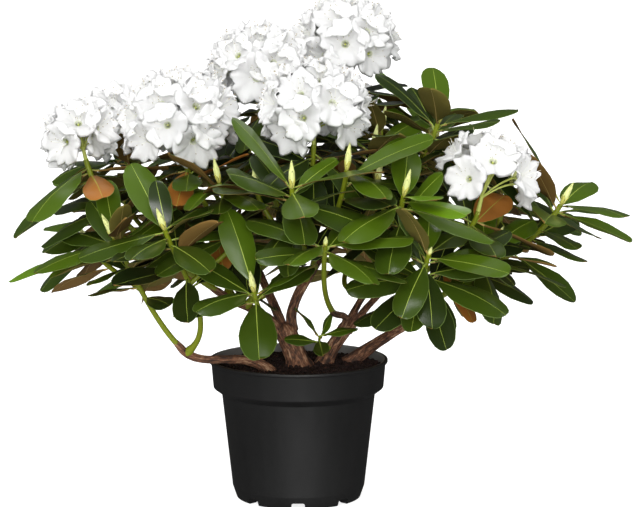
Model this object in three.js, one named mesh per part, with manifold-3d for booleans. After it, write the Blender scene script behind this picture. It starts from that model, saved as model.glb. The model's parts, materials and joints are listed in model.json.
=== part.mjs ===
// A white-flowered rhododendron bush in a black nursery pot.
// Millimetres, +Z up. The origin is the middle of the pot's underside, and -Y is the front.
// Woody limbs rise from the potting mix. Each foliage mass is one green stem with side shoots,
// whorls of leaves and pointed buds, all grown by one seeded rule.
// Each flower truss stands on a stem's tip.
import * as THREE from "three";
import { mergeVertices } from "three/addons/utils/BufferGeometryUtils.js";
import Module from "manifold-3d";

const wasm = await Module();
wasm.setup();

// Pot: a five-litre nursery container
const POT_HEIGHT = 180;
const RIM_RADIUS = 115;
const LIP_OVERHANG = 2.7;
const LIP_HEIGHT = 4;
const COLLAR_HEIGHT = 36;
const COLLAR_TAPER = 2.7;
const COLLAR_STEP = 10.8;
const STEP_HEIGHT = 8;
const BASE_RADIUS = 80;
const BEVEL_HEIGHT = 15.5;
const BEVEL_WIDTH = 5.3;
const POT_WALL = 2.2;
const FLOOR_TOP = 6;
const PAD_RADIUS = 48;
const CHANNEL_DEPTH = 4;
const FOOT_WIDTH = 12;
const NOTCHES = 8;
const NOTCH_WIDTH = 17;
const NOTCH_HEIGHT = 8;
const POT_SEGMENTS = 32;

// Potting mix: its level below the rim, and the clearance that neighbouring pieces keep
const MIX_LEVEL = 171;
const MIX_EDGE_DROP = 2;
const MIX_EDGE_WIDTH = 30;
const CLEAR = 0.3;
const SIDE_CLEAR = 0.15;

// Limbs
const LIMB_STEPS = 4;
const LIMB_SIDES = 8;
const BOW = 0.32;
const FORK = 1.42;
const ROOT_FLARE = 0.45;
const FLARE_LENGTH = 0.16;

// Green stems and shoots
const STEM_STEPS = 4;
const STEM_SIDES = 3;
const STEM_BASE_RADIUS = 5;
const STEM_TIP_RADIUS = 4.4;
const SHOOT_STEPS = 2;
const SHOOT_RADIUS = 4.2;
const SHOOT_SPREAD = 78;
const SHOOT_DROP = 30;
const SHOOT_FROM = 0.5;
const SHOOT_TURNS = 9;
const SHOOT_STRAY = 15;
const SHOOT_ROOM = 0.6 * SHOOT_SPREAD;
const SHOOT_DOME_GAP = 20;
const TIP_LEAN = 0.8;
const TRUSS_LEAN = 0.35;
const CROWN_HEART = new THREE.Vector3(0, 20, 230);

// Leaves
const LEAF_LENGTH = 108;
const LEAF_SLIMNESS = 0.38;
const LEAF_SWELL = 0.72;
const LEAF_BLUNT = 0.48;
const PETIOLE = 0.13;
const PETIOLE_HALF_WIDTH = 0.9;
const LEAF_KEEL = 0.013;
const LEAF_RINGS = [0, 0.4, 0.76, 1];
const OLDER_RINGS = [0, 0.5, 1];
const LEADER_LEAVES = 8;
const SIDE_LEAVES = 6;
const STEM_LEAVES = 2;
const WHORL_DEPTH = 26;
const LEAF_FALL = 52;
const CROWNED_FALL = 68;
const WHORL_FALL = 30;
const OLDER_DEPTH = 120;
const TIER_STEP = 46;
const GOLDEN_ANGLE = THREE.MathUtils.degToRad(137.5);
const LEAF_GAP = 5;
const KIN_GAP = 4;
const KIN_ROOT = 0.12;
const LIMB_GAP = 3;
const ROD_POINTS = 12;
const TURNS = [
  [0, 0], [11, 0], [-11, 0], [0, 14], [0, -14], [20, 10], [20, -10], [-20, 12], [-20, -12],
  [32, 0], [-30, 0],
];
const SHORTER = [1, 0.8];
const OUTLINE_STEPS = [0.14, 0.3, 0.46, 0.62, 0.78, 0.92];
const LOWEST_LEAF = 246;
const CROWN_LOW = [-394, -330];
const CROWN_HIGH = new THREE.Vector3(444, 350, 645);

// Buds
const BUD_LENGTH = 34;
const BUD_RADIUS = 5.6;
const BUD_SWELL = 0.4;

// Flower trusses: domes of funnel-shaped florets
const TRUSS_FLATNESS = 0.86;
const TRUSS_RISE = 0.8;
const TRUSS_NECK = 6;
const TRUSS_FLORETS = 7;
const TRUSS_LOWEST = THREE.MathUtils.degToRad(122);
const TRUSS_CORE = 0.6;
const TRUSS_STALK = 2.6;
const FLORET_RADIUS = 0.48;
const FLORET_NOTCH = 0.74;
const FLORET_FOOT = 0.3;
const FLORET_THROAT = 0.62;
const FLORET_INSET = 0.97;
const LOBES = 5;

const SEED = 20417;
const SEED_STEP = 101;
const JOIN_TOLERANCE = 0.2;

const GREEN = { color: 0x3f5a22, roughness: 0.42 };
const BARK = { color: 0x7a5040, roughness: 0.85 };
const PETALS = { color: 0xf4f4f2, roughness: 0.6 };
const BLACK_PLASTIC = { color: 0x262626, roughness: 0.5 };
const PEAT = { color: 0x35221c, roughness: 0.95 };

// Woody limbs. A stem starts on the potting mix at `foot`, and a bough on the end of the limb it
// grows from.
const LIMBS = [
  { name: "trunk", foot: [0, 0], tip: [-16, 4, 214], radii: [12.5, 14.5], lean: [-0.25, 0, 1] },
  { name: "stem_right", foot: [34, 18], tip: [60, 16, 216], radii: [9, 9.5], lean: [0.35, 0, 1] },
  {
    name: "stem_far_right", foot: [70, 30], tip: [158, -24, 240], radii: [7.5, 5.5],
    lean: [0.8, -0.1, 0.7],
  },
  {
    name: "stem_low_left", foot: [-40, -34], tip: [-146, -62, 202], radii: [6, 5],
    lean: [-0.65, -0.14, 0.74], rise: [-0.62, -0.2, 0.7],
  },
  { name: "bough_left", from: "trunk", turn: 205, tip: [-98, -26, 268], radii: [6.2, 5] },
  { name: "bough_up", from: "trunk", turn: 5, tip: [34, 22, 322], radii: [7, 5.5] },
  { name: "bough_back", from: "trunk", turn: 105, tip: [-62, 118, 292], radii: [6.2, 5] },
  { name: "bough_front", from: "stem_right", turn: 230, tip: [44, -62, 250], radii: [4.6, 3.8] },
  { name: "bough_right", from: "stem_right", turn: 340, tip: [122, -34, 290], radii: [4.8, 4] },
  { name: "bough_back_right", from: "stem_right", turn: 90, tip: [112, 118, 292], radii: [4.8, 4.2] },
];

// Foliage masses: the limb that carries each, the place along it, the tip of its leading stem, its
// side shoots, and the radius of the truss that ends the stem, where it has one. `size` scales a
// mass's stem and leaves, `tiers` counts its whorls, `leaves` the leaves of each and `older` those
// lower down, `bud` scales the bud that ends the stem, and `lowest` is the level the leaves hang to.
const MASSES = [
  { name: "far_left", limb: "bough_left", at: 1, tip: [-266, -48, 442], sides: 1, truss: 46, size: 1.12 },
  { name: "left_top", limb: "bough_left", at: 0.9, tip: [-228, 58, 444], sides: 1, truss: 52 },
  { name: "left_crown", limb: "bough_left", at: 0.78, tip: [-140, -70, 444], sides: 1, truss: 72 },
  { name: "left_low", limb: "stem_low_left", at: 1, tip: [-226, -110, 350], sides: 1, lowest: 262 },
  { name: "left_front", limb: "stem_low_left", at: 0.93, tip: [-160, -168, 368], sides: 1, lowest: 262 },
  { name: "upper_left", limb: "bough_left", at: 0.62, tip: [-96, -120, 420], sides: 0 },
  { name: "top_left", limb: "bough_up", at: 0.86, tip: [-48, 10, 508], sides: 1, truss: 63 },
  { name: "top", limb: "bough_up", at: 1, tip: [60, 76, 537], sides: 1, truss: 66 },
  { name: "top_front", limb: "bough_up", at: 0.93, tip: [20, -98, 466], sides: 1, truss: 66 },
  { name: "front_upper", limb: "bough_up", at: 0.6, tip: [-6, -180, 420], sides: 1 },
  { name: "front_right_upper", limb: "bough_up", at: 0.75, tip: [60, -160, 440], sides: 0 },
  { name: "front_right", limb: "bough_right", at: 1, tip: [128, -190, 412], sides: 1 },
  {
    name: "front_centre", limb: "bough_front", at: 1, tip: [34, -230, 358], sides: 0, older: 0,
    bud: 0.4, lowest: 300,
  },
  {
    name: "front_low", limb: "bough_left", at: 0.4, tip: [-52, -190, 296], sides: 0, leaves: 7,
    older: 0, lowest: 234,
  },
  {
    name: "base", limb: "stem_right", at: 0.4, tip: [28, -30, 214], sides: 0, size: 0.5,
    leaves: SIDE_LEAVES, older: 0, bud: 0, lowest: 192,
  },
  {
    name: "right_low", limb: "stem_far_right", at: 1, tip: [158, -208, 344], sides: 0, tiers: 2,
    bud: 0.4, lowest: 228,
  },
  { name: "right_mid", limb: "stem_far_right", at: 0.74, tip: [240, -70, 330], sides: 0 },
  { name: "right_bloom", limb: "stem_far_right", at: 0.9, tip: [222, -122, 386], sides: 0, truss: 62 },
  { name: "far_right", limb: "stem_far_right", at: 0.58, tip: [334, -10, 380], sides: 1, size: 1.12 },
  { name: "upper_right", limb: "bough_right", at: 0.8, tip: [176, -38, 487], sides: 2 },
  { name: "back_right", limb: "bough_back_right", at: 1, tip: [176, 150, 462], sides: 2 },
  { name: "back_far_right", limb: "bough_back_right", at: 0.7, tip: [268, 120, 380], sides: 1 },
  { name: "back_top", limb: "bough_back_right", at: 0.9, tip: [44, 180, 448], sides: 1, truss: 56 },
  { name: "back_low", limb: "bough_back_right", at: 0.5, tip: [84, 214, 324], sides: 1 },
  { name: "back", limb: "bough_back", at: 0.85, tip: [-30, 240, 386], sides: 1 },
  { name: "back_left", limb: "bough_back", at: 1, tip: [-136, 164, 440], sides: 1, truss: 54 },
  { name: "back_far_left", limb: "bough_back", at: 0.7, tip: [-232, 136, 366], sides: 1 },
  { name: "back_low_left", limb: "bough_back", at: 0.5, tip: [-120, 204, 310], sides: 1 },
];

const UP = new THREE.Vector3(0, 0, 1);

function vector(values) {
  return new THREE.Vector3(...values);
}

// The seeded numbers from 0 to 1 that the growth rule draws on.
function seededNumbers(seed) {
  let state = seed | 0;
  return () => {
    state = (state + 0x6d2b79f5) | 0;
    let mixed = Math.imul(state ^ (state >>> 15), 1 | state);
    mixed = (mixed + Math.imul(mixed ^ (mixed >>> 7), 61 | mixed)) ^ mixed;
    return ((mixed ^ (mixed >>> 14)) >>> 0) / 4294967296;
  };
}

// The part of `direction` that stands square to `axis`, at unit length.
function squareTo(axis, direction) {
  return direction.clone().addScaledVector(axis, -axis.dot(direction)).normalize();
}

// Two unit vectors square to `axis` and to each other.
function planeOf(axis) {
  const reference = Math.abs(axis.z) < 0.9 ? UP : new THREE.Vector3(1, 0, 0);
  const first = squareTo(axis, reference);
  return [first, new THREE.Vector3().crossVectors(axis, first)];
}

// A geometry's closed surface as a solid. Corners that meet are merged, and faces that collapse are
// dropped.
function solidOf(geometry) {
  const loose = geometry.index ? geometry.toNonIndexed() : geometry;
  const bare = new THREE.BufferGeometry().setAttribute("position", loose.getAttribute("position"));
  const merged = mergeVertices(bare, 1e-4);
  const corners = merged.index.array;
  const triVerts = [];
  for (let i = 0; i < corners.length; i += 3) {
    const [a, b, c] = corners.subarray(i, i + 3);
    if (a !== b && b !== c && c !== a) triVerts.push(a, b, c);
  }
  const vertProperties = new Float32Array(merged.getAttribute("position").array);
  const triangles = new Uint32Array(triVerts);
  return new wasm.Manifold(new wasm.Mesh({ numProp: 3, vertProperties, triVerts: triangles }));
}

// Several solids as one. Hollows that the joining seals are filled, and loose scraps are dropped.
function fuse(solids) {
  const joined = solids.reduce((sum, next) => sum.add(next));
  const bodies = joined.simplify(JOIN_TOLERANCE).decompose();
  return bodies.reduce((largest, body) => (body.volume() > largest.volume() ? body : largest));
}

function namedMesh(name, solid, looks) {
  const { numProp, vertProperties, triVerts } = solid.getMesh();
  const geometry = new THREE.BufferGeometry();
  geometry.setAttribute("position", new THREE.BufferAttribute(new Float32Array(vertProperties), numProp));
  geometry.setIndex(new THREE.BufferAttribute(new Uint32Array(triVerts), 1));
  geometry.computeVertexNormals();
  const mesh = new THREE.Mesh(geometry, new THREE.MeshStandardMaterial({ metalness: 0, ...looks }));
  mesh.name = name;
  return mesh;
}

// Moves each corner of a cylinder one unit tall to place(across, share of the height, depth).
function warped(sides, steps, place) {
  const geometry = new THREE.CylinderGeometry(1, 1, 1, sides, steps);
  const position = geometry.getAttribute("position");
  for (let i = 0; i < position.count; i++) {
    const moved = place(position.getX(i), position.getY(i) + 0.5, position.getZ(i));
    position.setXYZ(i, moved.x, moved.y, moved.z);
  }
  return geometry;
}

// Frames along a curve that turn with it and don't twist.
function framesAlong(curve, steps) {
  let [normal] = planeOf(curve.getTangent(0));
  return Array.from({ length: steps + 1 }, (_, i) => {
    const tangent = curve.getTangent(i / steps);
    normal = squareTo(tangent, normal);
    const side = new THREE.Vector3().crossVectors(normal, tangent);
    return { centre: curve.getPoint(i / steps), tangent, normal, side };
  });
}

// A closed tube with a ring round each frame. With `level`, its foot is cut flat there.
function skin(frames, sides, level = null) {
  const steps = frames.length - 1;
  return warped(sides, steps, (x, t, z) => {
    const { centre, tangent, normal, side, radius } = frames[Math.round(t * steps)];
    const corner = centre.clone().addScaledVector(normal, x * radius).addScaledVector(side, z * radius);
    const atFoot = level !== null && t === 0;
    if (atFoot) corner.addScaledVector(tangent, (level - corner.z) / tangent.z);
    return corner;
  });
}

// A tube along a curve, with a radius for each share of its length.
function tube(curve, radiusAt, sides, steps, level = null) {
  const frames = framesAlong(curve, steps);
  const sized = frames.map((frame, i) => ({ ...frame, radius: radiusAt(i / steps) }));
  return skin(sized, sides, level);
}

// The middle of a tube of straight steps along a curve, at a share of its length.
function pointOnTube(curve, steps, t) {
  const step = Math.min(steps - 1, Math.floor(t * steps));
  return curve.getPoint(step / steps).lerp(curve.getPoint((step + 1) / steps), t * steps - step);
}

// A curve that leaves `base` along `leave` and comes into `tip` along `arrive`.
function bowedCurve(base, leave, tip, arrive) {
  const pull = base.distanceTo(tip) * BOW;
  const first = base.clone().addScaledVector(leave, pull);
  const second = tip.clone().addScaledVector(arrive, -pull);
  return new THREE.CubicBezierCurve3(base, first, second, tip);
}

// The pot's wall in section, from the middle of its underside, round the rim, to the middle of its floor.
function potProfile() {
  const collarTop = RIM_RADIUS - LIP_OVERHANG;
  const collarFoot = collarTop - COLLAR_TAPER;
  const bodyTop = collarFoot - COLLAR_STEP;
  const bevelTop = BASE_RADIUS + BEVEL_WIDTH;
  const collarLevel = POT_HEIGHT - COLLAR_HEIGHT;
  const bodyLevel = collarLevel - STEP_HEIGHT;
  const footInside = BASE_RADIUS - FOOT_WIDTH;
  return [
    [0, 0], [PAD_RADIUS, 0], [PAD_RADIUS + CHANNEL_DEPTH, CHANNEL_DEPTH],
    [footInside - CHANNEL_DEPTH, CHANNEL_DEPTH], [footInside, 0], [BASE_RADIUS, 0],
    [bevelTop, BEVEL_HEIGHT], [bodyTop, bodyLevel], [collarFoot, collarLevel],
    [collarTop, POT_HEIGHT - LIP_HEIGHT], [RIM_RADIUS, POT_HEIGHT - LIP_HEIGHT],
    [RIM_RADIUS, POT_HEIGHT], ...potInside(), [0, FLOOR_TOP],
  ];
}

// The inner face of the wall, from the rim down to the floor.
function potInside() {
  const collarTop = RIM_RADIUS - LIP_OVERHANG - POT_WALL;
  const collarFoot = collarTop - COLLAR_TAPER;
  const collarLevel = POT_HEIGHT - COLLAR_HEIGHT;
  return [
    [collarTop, POT_HEIGHT], [collarFoot, collarLevel],
    [collarFoot - COLLAR_STEP, collarLevel - STEP_HEIGHT],
    [BASE_RADIUS + BEVEL_WIDTH - POT_WALL, BEVEL_HEIGHT],
    [BASE_RADIUS - POT_WALL, FLOOR_TOP],
  ];
}

function turned(profile) {
  const points = profile.map(([radius, level]) => new THREE.Vector2(radius, level));
  return solidOf(new THREE.LatheGeometry(points, POT_SEGMENTS).rotateX(Math.PI / 2));
}

// The pot, with a drainage notch through its foot ring at each eighth of a turn.
function pot() {
  const reach = FOOT_WIDTH + CHANNEL_DEPTH + BEVEL_WIDTH;
  let body = turned(potProfile());
  for (let i = 0; i < NOTCHES; i++) {
    const cut = new THREE.BoxGeometry(NOTCH_WIDTH, 2 * reach, 2 * NOTCH_HEIGHT);
    cut.translate(0, -BASE_RADIUS - BEVEL_WIDTH, 0).rotateZ((i * 2 * Math.PI) / NOTCHES);
    body = body.subtract(solidOf(cut));
  }
  return body;
}

// The potting mix fills the pot to just under the rim and slopes down a little at the wall.
function pottingMix() {
  const wall = potInside().map(([radius, level]) => [radius - CLEAR, level]);
  const [rim, collarFoot] = wall;
  const edge = MIX_LEVEL - MIX_EDGE_DROP;
  const edgeShare = (edge - collarFoot[1]) / (rim[1] - collarFoot[1]);
  const edgeRadius = collarFoot[0] + (rim[0] - collarFoot[0]) * edgeShare;
  const bottom = FLOOR_TOP + CLEAR;
  const sides = wall.slice(1, -1).reverse();
  const foot = [BASE_RADIUS - POT_WALL - CLEAR, bottom];
  const flat = [edgeRadius - MIX_EDGE_WIDTH, MIX_LEVEL];
  return turned([[0, bottom], foot, ...sides, [edgeRadius, edge], flat, [0, MIX_LEVEL]]);
}

// A limb's radius: an even taper, with a flare at the foot of a stem that rises from the ground.
function limbRadius({ radii, foot }) {
  return (t) => {
    const flare = foot ? ROOT_FLARE * Math.exp(-t / FLARE_LENGTH) : 0;
    return THREE.MathUtils.lerp(radii[0], radii[1], t) * (1 + flare);
  };
}

// A stem's foot stands just clear of the potting mix.
// A bough's foot stands just clear of its parent's end, to the side that `turn` gives in degrees.
function limbCurves() {
  const curves = new Map();
  for (const limb of LIMBS) {
    const tip = vector(limb.tip);
    let base;
    let leave;
    if (limb.foot) {
      base = vector([...limb.foot, MIX_LEVEL + CLEAR]);
      leave = vector(limb.lean).normalize();
    } else {
      const parent = curves.get(limb.from);
      leave = parent.getTangent(1);
      const turn = THREE.MathUtils.degToRad(limb.turn);
      const side = squareTo(leave, new THREE.Vector3(Math.cos(turn), Math.sin(turn), 0));
      base = parent.getPoint(1).addScaledVector(leave, CLEAR);
      base.addScaledVector(side, limb.radii[0] * FORK);
    }
    const arrive = limb.rise ? vector(limb.rise) : tip.clone().sub(base);
    curves.set(limb.name, bowedCurve(base, leave, tip, arrive.normalize()));
  }
  return curves;
}

// Where a stem points at its tip: up, and a little out of the crown's heart.
function tipDirection(tip, lean) {
  const outward = tip.clone().sub(CROWN_HEART).normalize();
  return UP.clone().addScaledVector(outward, lean).normalize();
}

// A mass's stem leaves the end of its limb straight on, or its side square to the limb.
function stemCurve(mass, curve, radiusAt) {
  const tip = vector(mass.tip);
  const base = pointOnTube(curve, LIMB_STEPS, mass.at);
  const along = curve.getTangent(mass.at);
  let leave = along;
  if (mass.at < 1) {
    leave = squareTo(along, tip.clone().sub(base));
    base.addScaledVector(leave, radiusAt(mass.at) + SIDE_CLEAR);
  }
  base.addScaledVector(leave, CLEAR);
  return bowedCurve(base, leave, tip, tipDirection(tip, mass.truss ? TRUSS_LEAN : TIP_LEAN));
}

// A leaf blade as an arc that bends away from its upper side.
class Blade {
  constructor(base, along, upper, length, bend) {
    this.base = base;
    this.along = along;
    this.upper = upper;
    this.side = new THREE.Vector3().crossVectors(upper, along);
    this.length = length;
    this.bend = bend;
    this.arc = length / bend;
    this.middle = this.point(0.5, 0, 0);
    const edge = (hand) => OUTLINE_STEPS.map((u) => this.point(u, hand, 0));
    this.outline = [1, -1].map((hand) => [...edge(hand), this.point(1, 0, 0)]);
  }

  // Half the leaf's width at a share of its length: a thin stalk, then a blade that is widest
  // beyond its middle and blunt at its tip.
  halfWidth(u) {
    if (u <= PETIOLE) return PETIOLE_HALF_WIDTH;
    const t = Math.min(1, (u - PETIOLE) / (1 - PETIOLE));
    const widest = LEAF_SWELL / (LEAF_SWELL + LEAF_BLUNT);
    const swell = Math.pow(t / widest, LEAF_SWELL) * Math.pow((1 - t) / (1 - widest), LEAF_BLUNT);
    return Math.max(PETIOLE_HALF_WIDTH * (1 - t), 0.5 * LEAF_SLIMNESS * this.length * swell);
  }

  // A point on the blade: a share of its length, a share of its half width, and a height over it.
  point(u, across, height) {
    const turn = this.bend * u;
    const radius = this.arc + height;
    return this.base.clone()
      .addScaledVector(this.along, radius * Math.sin(turn))
      .addScaledVector(this.upper, radius * Math.cos(turn) - this.arc)
      .addScaledVector(this.side, across * this.halfWidth(u));
  }

  // A place in space, in the blade's own terms.
  local(place) {
    const offset = place.clone().sub(this.base);
    const forward = offset.dot(this.along);
    const rise = offset.dot(this.upper) + this.arc;
    return {
      u: Math.atan2(forward, rise) / this.bend,
      across: offset.dot(this.side),
      height: Math.hypot(forward, rise) - this.arc,
    };
  }

  covers(u, across, gap, root) {
    if (u < root || u > 1 + gap / this.length) return false;
    return Math.abs(across) < this.halfWidth(THREE.MathUtils.clamp(u, 0, 1)) + gap;
  }

  // True if a line of places passes through the blade, or comes within the gap of it, beyond the
  // share `root` of its length.
  meets(line, gap, root = 0) {
    const places = line.map((place) => this.local(place));
    return places.some((here, i) => {
      if (Math.abs(here.height) < gap && this.covers(here.u, here.across, gap, root)) return true;
      const next = places[i + 1];
      if (!next || here.height * next.height > 0) return false;
      const share = here.height / (here.height - next.height);
      const u = here.u + (next.u - here.u) * share;
      return this.covers(u, here.across + (next.across - here.across) * share, gap, root);
    });
  }

  // Leaves of one mass may come together at their stalks, and nowhere else.
  meetsBlade(other) {
    const reach = (this.length + other.length) / 2 + LEAF_GAP;
    if (this.middle.distanceTo(other.middle) > reach) return false;
    const kin = this.mass === other.mass;
    const gap = kin ? KIN_GAP : LEAF_GAP;
    const root = kin ? KIN_ROOT : 0;
    const beyondStalk = (line) => (kin ? line.slice(1) : line);
    const crosses = (one, two) => one.outline.some((line) => two.meets(beyondStalk(line), gap, root));
    return crosses(this, other) || crosses(other, this);
  }

  solid() {
    const steps = this.rings.length - 1;
    return solidOf(
      warped(3, steps, (x, t) => {
        const u = this.rings[Math.round(t * steps)];
        const onEdge = Math.abs(x) > 0.1 && u < 1;
        const keel = onEdge || u === 1 ? 0 : -LEAF_KEEL * this.length;
        return this.point(u, onEdge ? Math.sign(x) : 0, keel);
      }),
    );
  }
}

// A truss's dome: an ellipsoid on the tip of its stem, that keeps clear of everything else.
function trussDome(mass, stem) {
  const axis = stem.getTangent(1);
  const radius = mass.truss;
  const height = radius * TRUSS_FLATNESS;
  const tip = stem.getPoint(1);
  const centre = tip.clone().addScaledVector(axis, height * TRUSS_RISE);
  return { mass, axis, radius, height, tip, centre };
}

function insideDome(dome, place, gap) {
  const offset = place.clone().sub(dome.centre);
  const rise = offset.dot(dome.axis);
  const out = Math.sqrt(Math.max(0, offset.lengthSq() - rise * rise));
  return Math.hypot(rise / (dome.height + gap), out / (dome.radius + gap)) < 1;
}

function distanceToSegment(place, start, end) {
  const nearest = new THREE.Line3(start, end).closestPointToPoint(place, true, new THREE.Vector3());
  return nearest.distanceTo(place);
}

// A rod for the clearance tests: the line down the middle of a limb, or of a shoot and its bud, and
// its radius.
function rod(owner, curve, radius, steps, bud = 0) {
  const shares = Array.from({ length: ROD_POINTS + 1 }, (_, i) => i / ROD_POINTS);
  const line = shares.map((share) => pointOnTube(curve, steps, share));
  const heading = curve.getTangent(1);
  const onBud = (share) => curve.getPoint(1).addScaledVector(heading, share * BUD_LENGTH);
  if (bud) line.push(onBud(0.5), onBud(1));
  return { owner, radius, line };
}

function rodsMeet(one, two) {
  const gap = one.radius + two.radius + LIMB_GAP;
  return one.line.some((place) =>
    two.line.some((end, i) => i > 0 && distanceToSegment(place, two.line[i - 1], end) < gap),
  );
}

// The whole crown, grown mass by mass. Every draw on the seeded numbers happens whether or not the
// piece finds room.
function grow(limbs) {
  const stems = MASSES.map((mass) => {
    const limb = LIMBS.find(({ name }) => name === mass.limb);
    return stemCurve(mass, limbs.get(mass.limb), limbRadius(limb));
  });
  const domes = MASSES.flatMap((mass, i) => (mass.truss ? [trussDome(mass, stems[i])] : []));
  const rods = [
    ...LIMBS.map((limb) => rod(null, limbs.get(limb.name), limb.radii[0], LIMB_STEPS)),
    ...MASSES.map((mass, i) => rod(mass, stems[i], BUD_RADIUS, STEM_STEPS, budOf(mass))),
  ];
  const draws = MASSES.map((_, i) => seededNumbers(SEED + SEED_STEP * i));
  const crown = MASSES.map((mass, i) => growShoots(mass, stems[i], draws[i], rods, domes));
  const blades = [];
  for (const grown of crown) growLeaves(grown, rods, domes, blades);
  return { crown, domes };
}

// How far a place lies from the crown's upright middle line.
function flatReach(place) {
  return Math.hypot(place.x - CROWN_HEART.x, place.y - CROWN_HEART.y);
}

// The size of the bud that ends a mass's leading stem, if no truss does.
function budOf(mass) {
  return mass.truss ? 0 : mass.bud ?? 1;
}

// A mass's leading stem and its side shoots, each turned about the stem until it finds room.
function growShoots(mass, stem, draw, rods, domes) {
  const tip = stem.getPoint(1);
  const axis = stem.getTangent(1);
  const [first, second] = planeOf(axis);
  const leader = { curve: stem, leader: true, bud: budOf(mass), size: mass.size ?? 1 };
  const shoots = [{ ...leader, leaves: mass.leaves ?? LEADER_LEAVES }];
  const phase = draw() * 2 * Math.PI;
  for (let k = 0; k < mass.sides; k++) {
    const spread = SHOOT_SPREAD * (0.85 + 0.3 * draw());
    const drop = SHOOT_DROP * (0.5 + draw());
    const from = stem.getPoint(SHOOT_FROM + 0.15 * draw());
    for (let turn = 0; turn < SHOOT_TURNS; turn++) {
      const angle = phase + k * GOLDEN_ANGLE + (turn * 2 * Math.PI) / SHOOT_TURNS;
      const end = tip.clone().addScaledVector(axis, -drop)
        .addScaledVector(first, spread * Math.cos(angle))
        .addScaledVector(second, spread * Math.sin(angle));
      const leave = end.clone().sub(from).normalize();
      const curve = bowedCurve(from, leave, end, tipDirection(end, TIP_LEAN));
      const shoot = rod(mass, curve, BUD_RADIUS, SHOOT_STEPS, 1);
      const meetsRod = rods.some((other) => other.owner !== mass && rodsMeet(shoot, other));
      const near = (line) => line.at(-1).distanceTo(end) < SHOOT_ROOM;
      const crowded = rods.some(({ owner, line }) => owner && near(line));
      const inDome = (dome) => shoot.line.some((place) => insideDome(dome, place, SHOOT_DOME_GAP));
      const meetsDome = domes.some(inDome);
      const strays = flatReach(end) > flatReach(tip) + SHOOT_STRAY;
      if (meetsRod || crowded || meetsDome || strays) continue;
      rods.push(shoot);
      shoots.push({ curve, leaves: SIDE_LEAVES, leader: false, bud: 1, size: 1 });
      break;
    }
  }
  return { mass, shoots, draw };
}

// The whorl of leaves at each shoot's tip, a second whorl below it on a stem with two tiers,
// and a few older leaves lower down.
function growLeaves(grown, rods, domes, blades) {
  const { mass, shoots, draw } = grown;
  grown.blades = [];
  for (const shoot of shoots) {
    const { curve, leaves, leader } = shoot;
    const length = curve.getLength();
    const phase = draw() * 2 * Math.PI;
    const crowned = leader && mass.truss;
    const tiers = leader ? mass.tiers ?? 1 : 1;
    const older = leader ? mass.older ?? STEM_LEAVES : 0;
    for (let i = 0; i < tiers * leaves + older; i++) {
      const tier = Math.floor(i / leaves);
      const place = (i % leaves) / leaves;
      const depth = tier < tiers ? WHORL_DEPTH : OLDER_DEPTH;
      const back = tier * TIER_STEP + place * depth + (crowned ? TRUSS_NECK : 0);
      const at = Math.max(0.25, 1 - back / length);
      const fall = (crowned ? CROWNED_FALL : LEAF_FALL) + WHORL_FALL * place + 16 * (draw() - 0.5);
      const polar = THREE.MathUtils.degToRad(fall);
      const angle = phase + i * GOLDEN_ANGLE + 0.3 * (draw() - 0.5);
      const size = LEAF_LENGTH * (mass.size ?? 1) * (0.82 + 0.34 * draw());
      const bend = 0.12 + 0.3 * draw();
      const roll = 0.5 * (draw() - 0.5);
      const wanted = { polar, angle, size, bend, roll };
      const blade = fittingBlade(mass, shoot, at, wanted, { rods, domes, blades });
      if (!blade) continue;
      blade.rings = leader && tier < tiers ? LEAF_RINGS : OLDER_RINGS;
      blades.push(blade);
      grown.blades.push(blade);
    }
  }
}

// The first of a few turns and lengths of a leaf that stays in the crown and touches no limb, truss
// or other mass.
function fittingBlade(mass, { curve, leader }, at, { polar, angle, size, bend, roll }, room) {
  const base = pointOnTube(curve, leader ? STEM_STEPS : SHOOT_STEPS, at);
  const axis = curve.getTangent(at);
  const [first, second] = planeOf(axis);
  const sky = axis.clone().add(UP).normalize();
  for (const share of SHORTER) {
    for (const [tilt, swing] of TURNS) {
      const fall = polar + THREE.MathUtils.degToRad(tilt);
      const turn = angle + THREE.MathUtils.degToRad(swing);
      const outward = first.clone().multiplyScalar(Math.cos(turn))
        .addScaledVector(second, Math.sin(turn));
      const along = axis.clone().multiplyScalar(Math.cos(fall))
        .addScaledVector(outward, Math.sin(fall));
      const upper = squareTo(along, sky).applyAxisAngle(along, roll);
      const blade = new Blade(base, along, upper, size * share, bend);
      blade.mass = mass;
      if (fits(blade, room)) return blade;
    }
  }
  return null;
}

function fits(blade, { rods, domes, blades }) {
  const places = blade.outline.flat();
  const low = vector([...CROWN_LOW, blade.mass.lowest ?? LOWEST_LEAF]);
  const crown = new THREE.Box3(low, CROWN_HIGH);
  if (places.some((place) => !crown.containsPoint(place))) return false;
  if (domes.some((dome) => places.some((place) => insideDome(dome, place, LEAF_GAP)))) return false;
  const others = rods.filter(({ owner }) => owner !== blade.mass);
  if (others.some(({ line, radius }) => blade.meets(line, radius + LIMB_GAP))) return false;
  return !blades.some((other) => blade.meetsBlade(other));
}

// A green shoot. Where it ends in a bud, the last two steps are the bud's swelling and its point.
function shootSolid({ curve, leader, bud, size }) {
  const foot = leader ? STEM_BASE_RADIUS : SHOOT_RADIUS;
  const steps = leader ? STEM_STEPS : SHOOT_STEPS;
  const radiusAt = (t) => size * THREE.MathUtils.lerp(foot, STEM_TIP_RADIUS, t);
  const frames = framesAlong(curve, steps).map((frame, i) => ({ ...frame, radius: radiusAt(i / steps) }));
  if (bud) {
    const { centre, tangent } = frames.at(-1);
    const along = (t) => centre.clone().addScaledVector(tangent, t * bud * BUD_LENGTH);
    const girth = THREE.MathUtils.lerp(STEM_TIP_RADIUS, BUD_RADIUS, bud);
    frames.push({ ...frames.at(-1), centre: along(BUD_SWELL), radius: girth });
    frames.push({ ...frames.at(-1), centre: along(1), radius: 0 });
  }
  return solidOf(skin(frames, STEM_SIDES));
}

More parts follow.
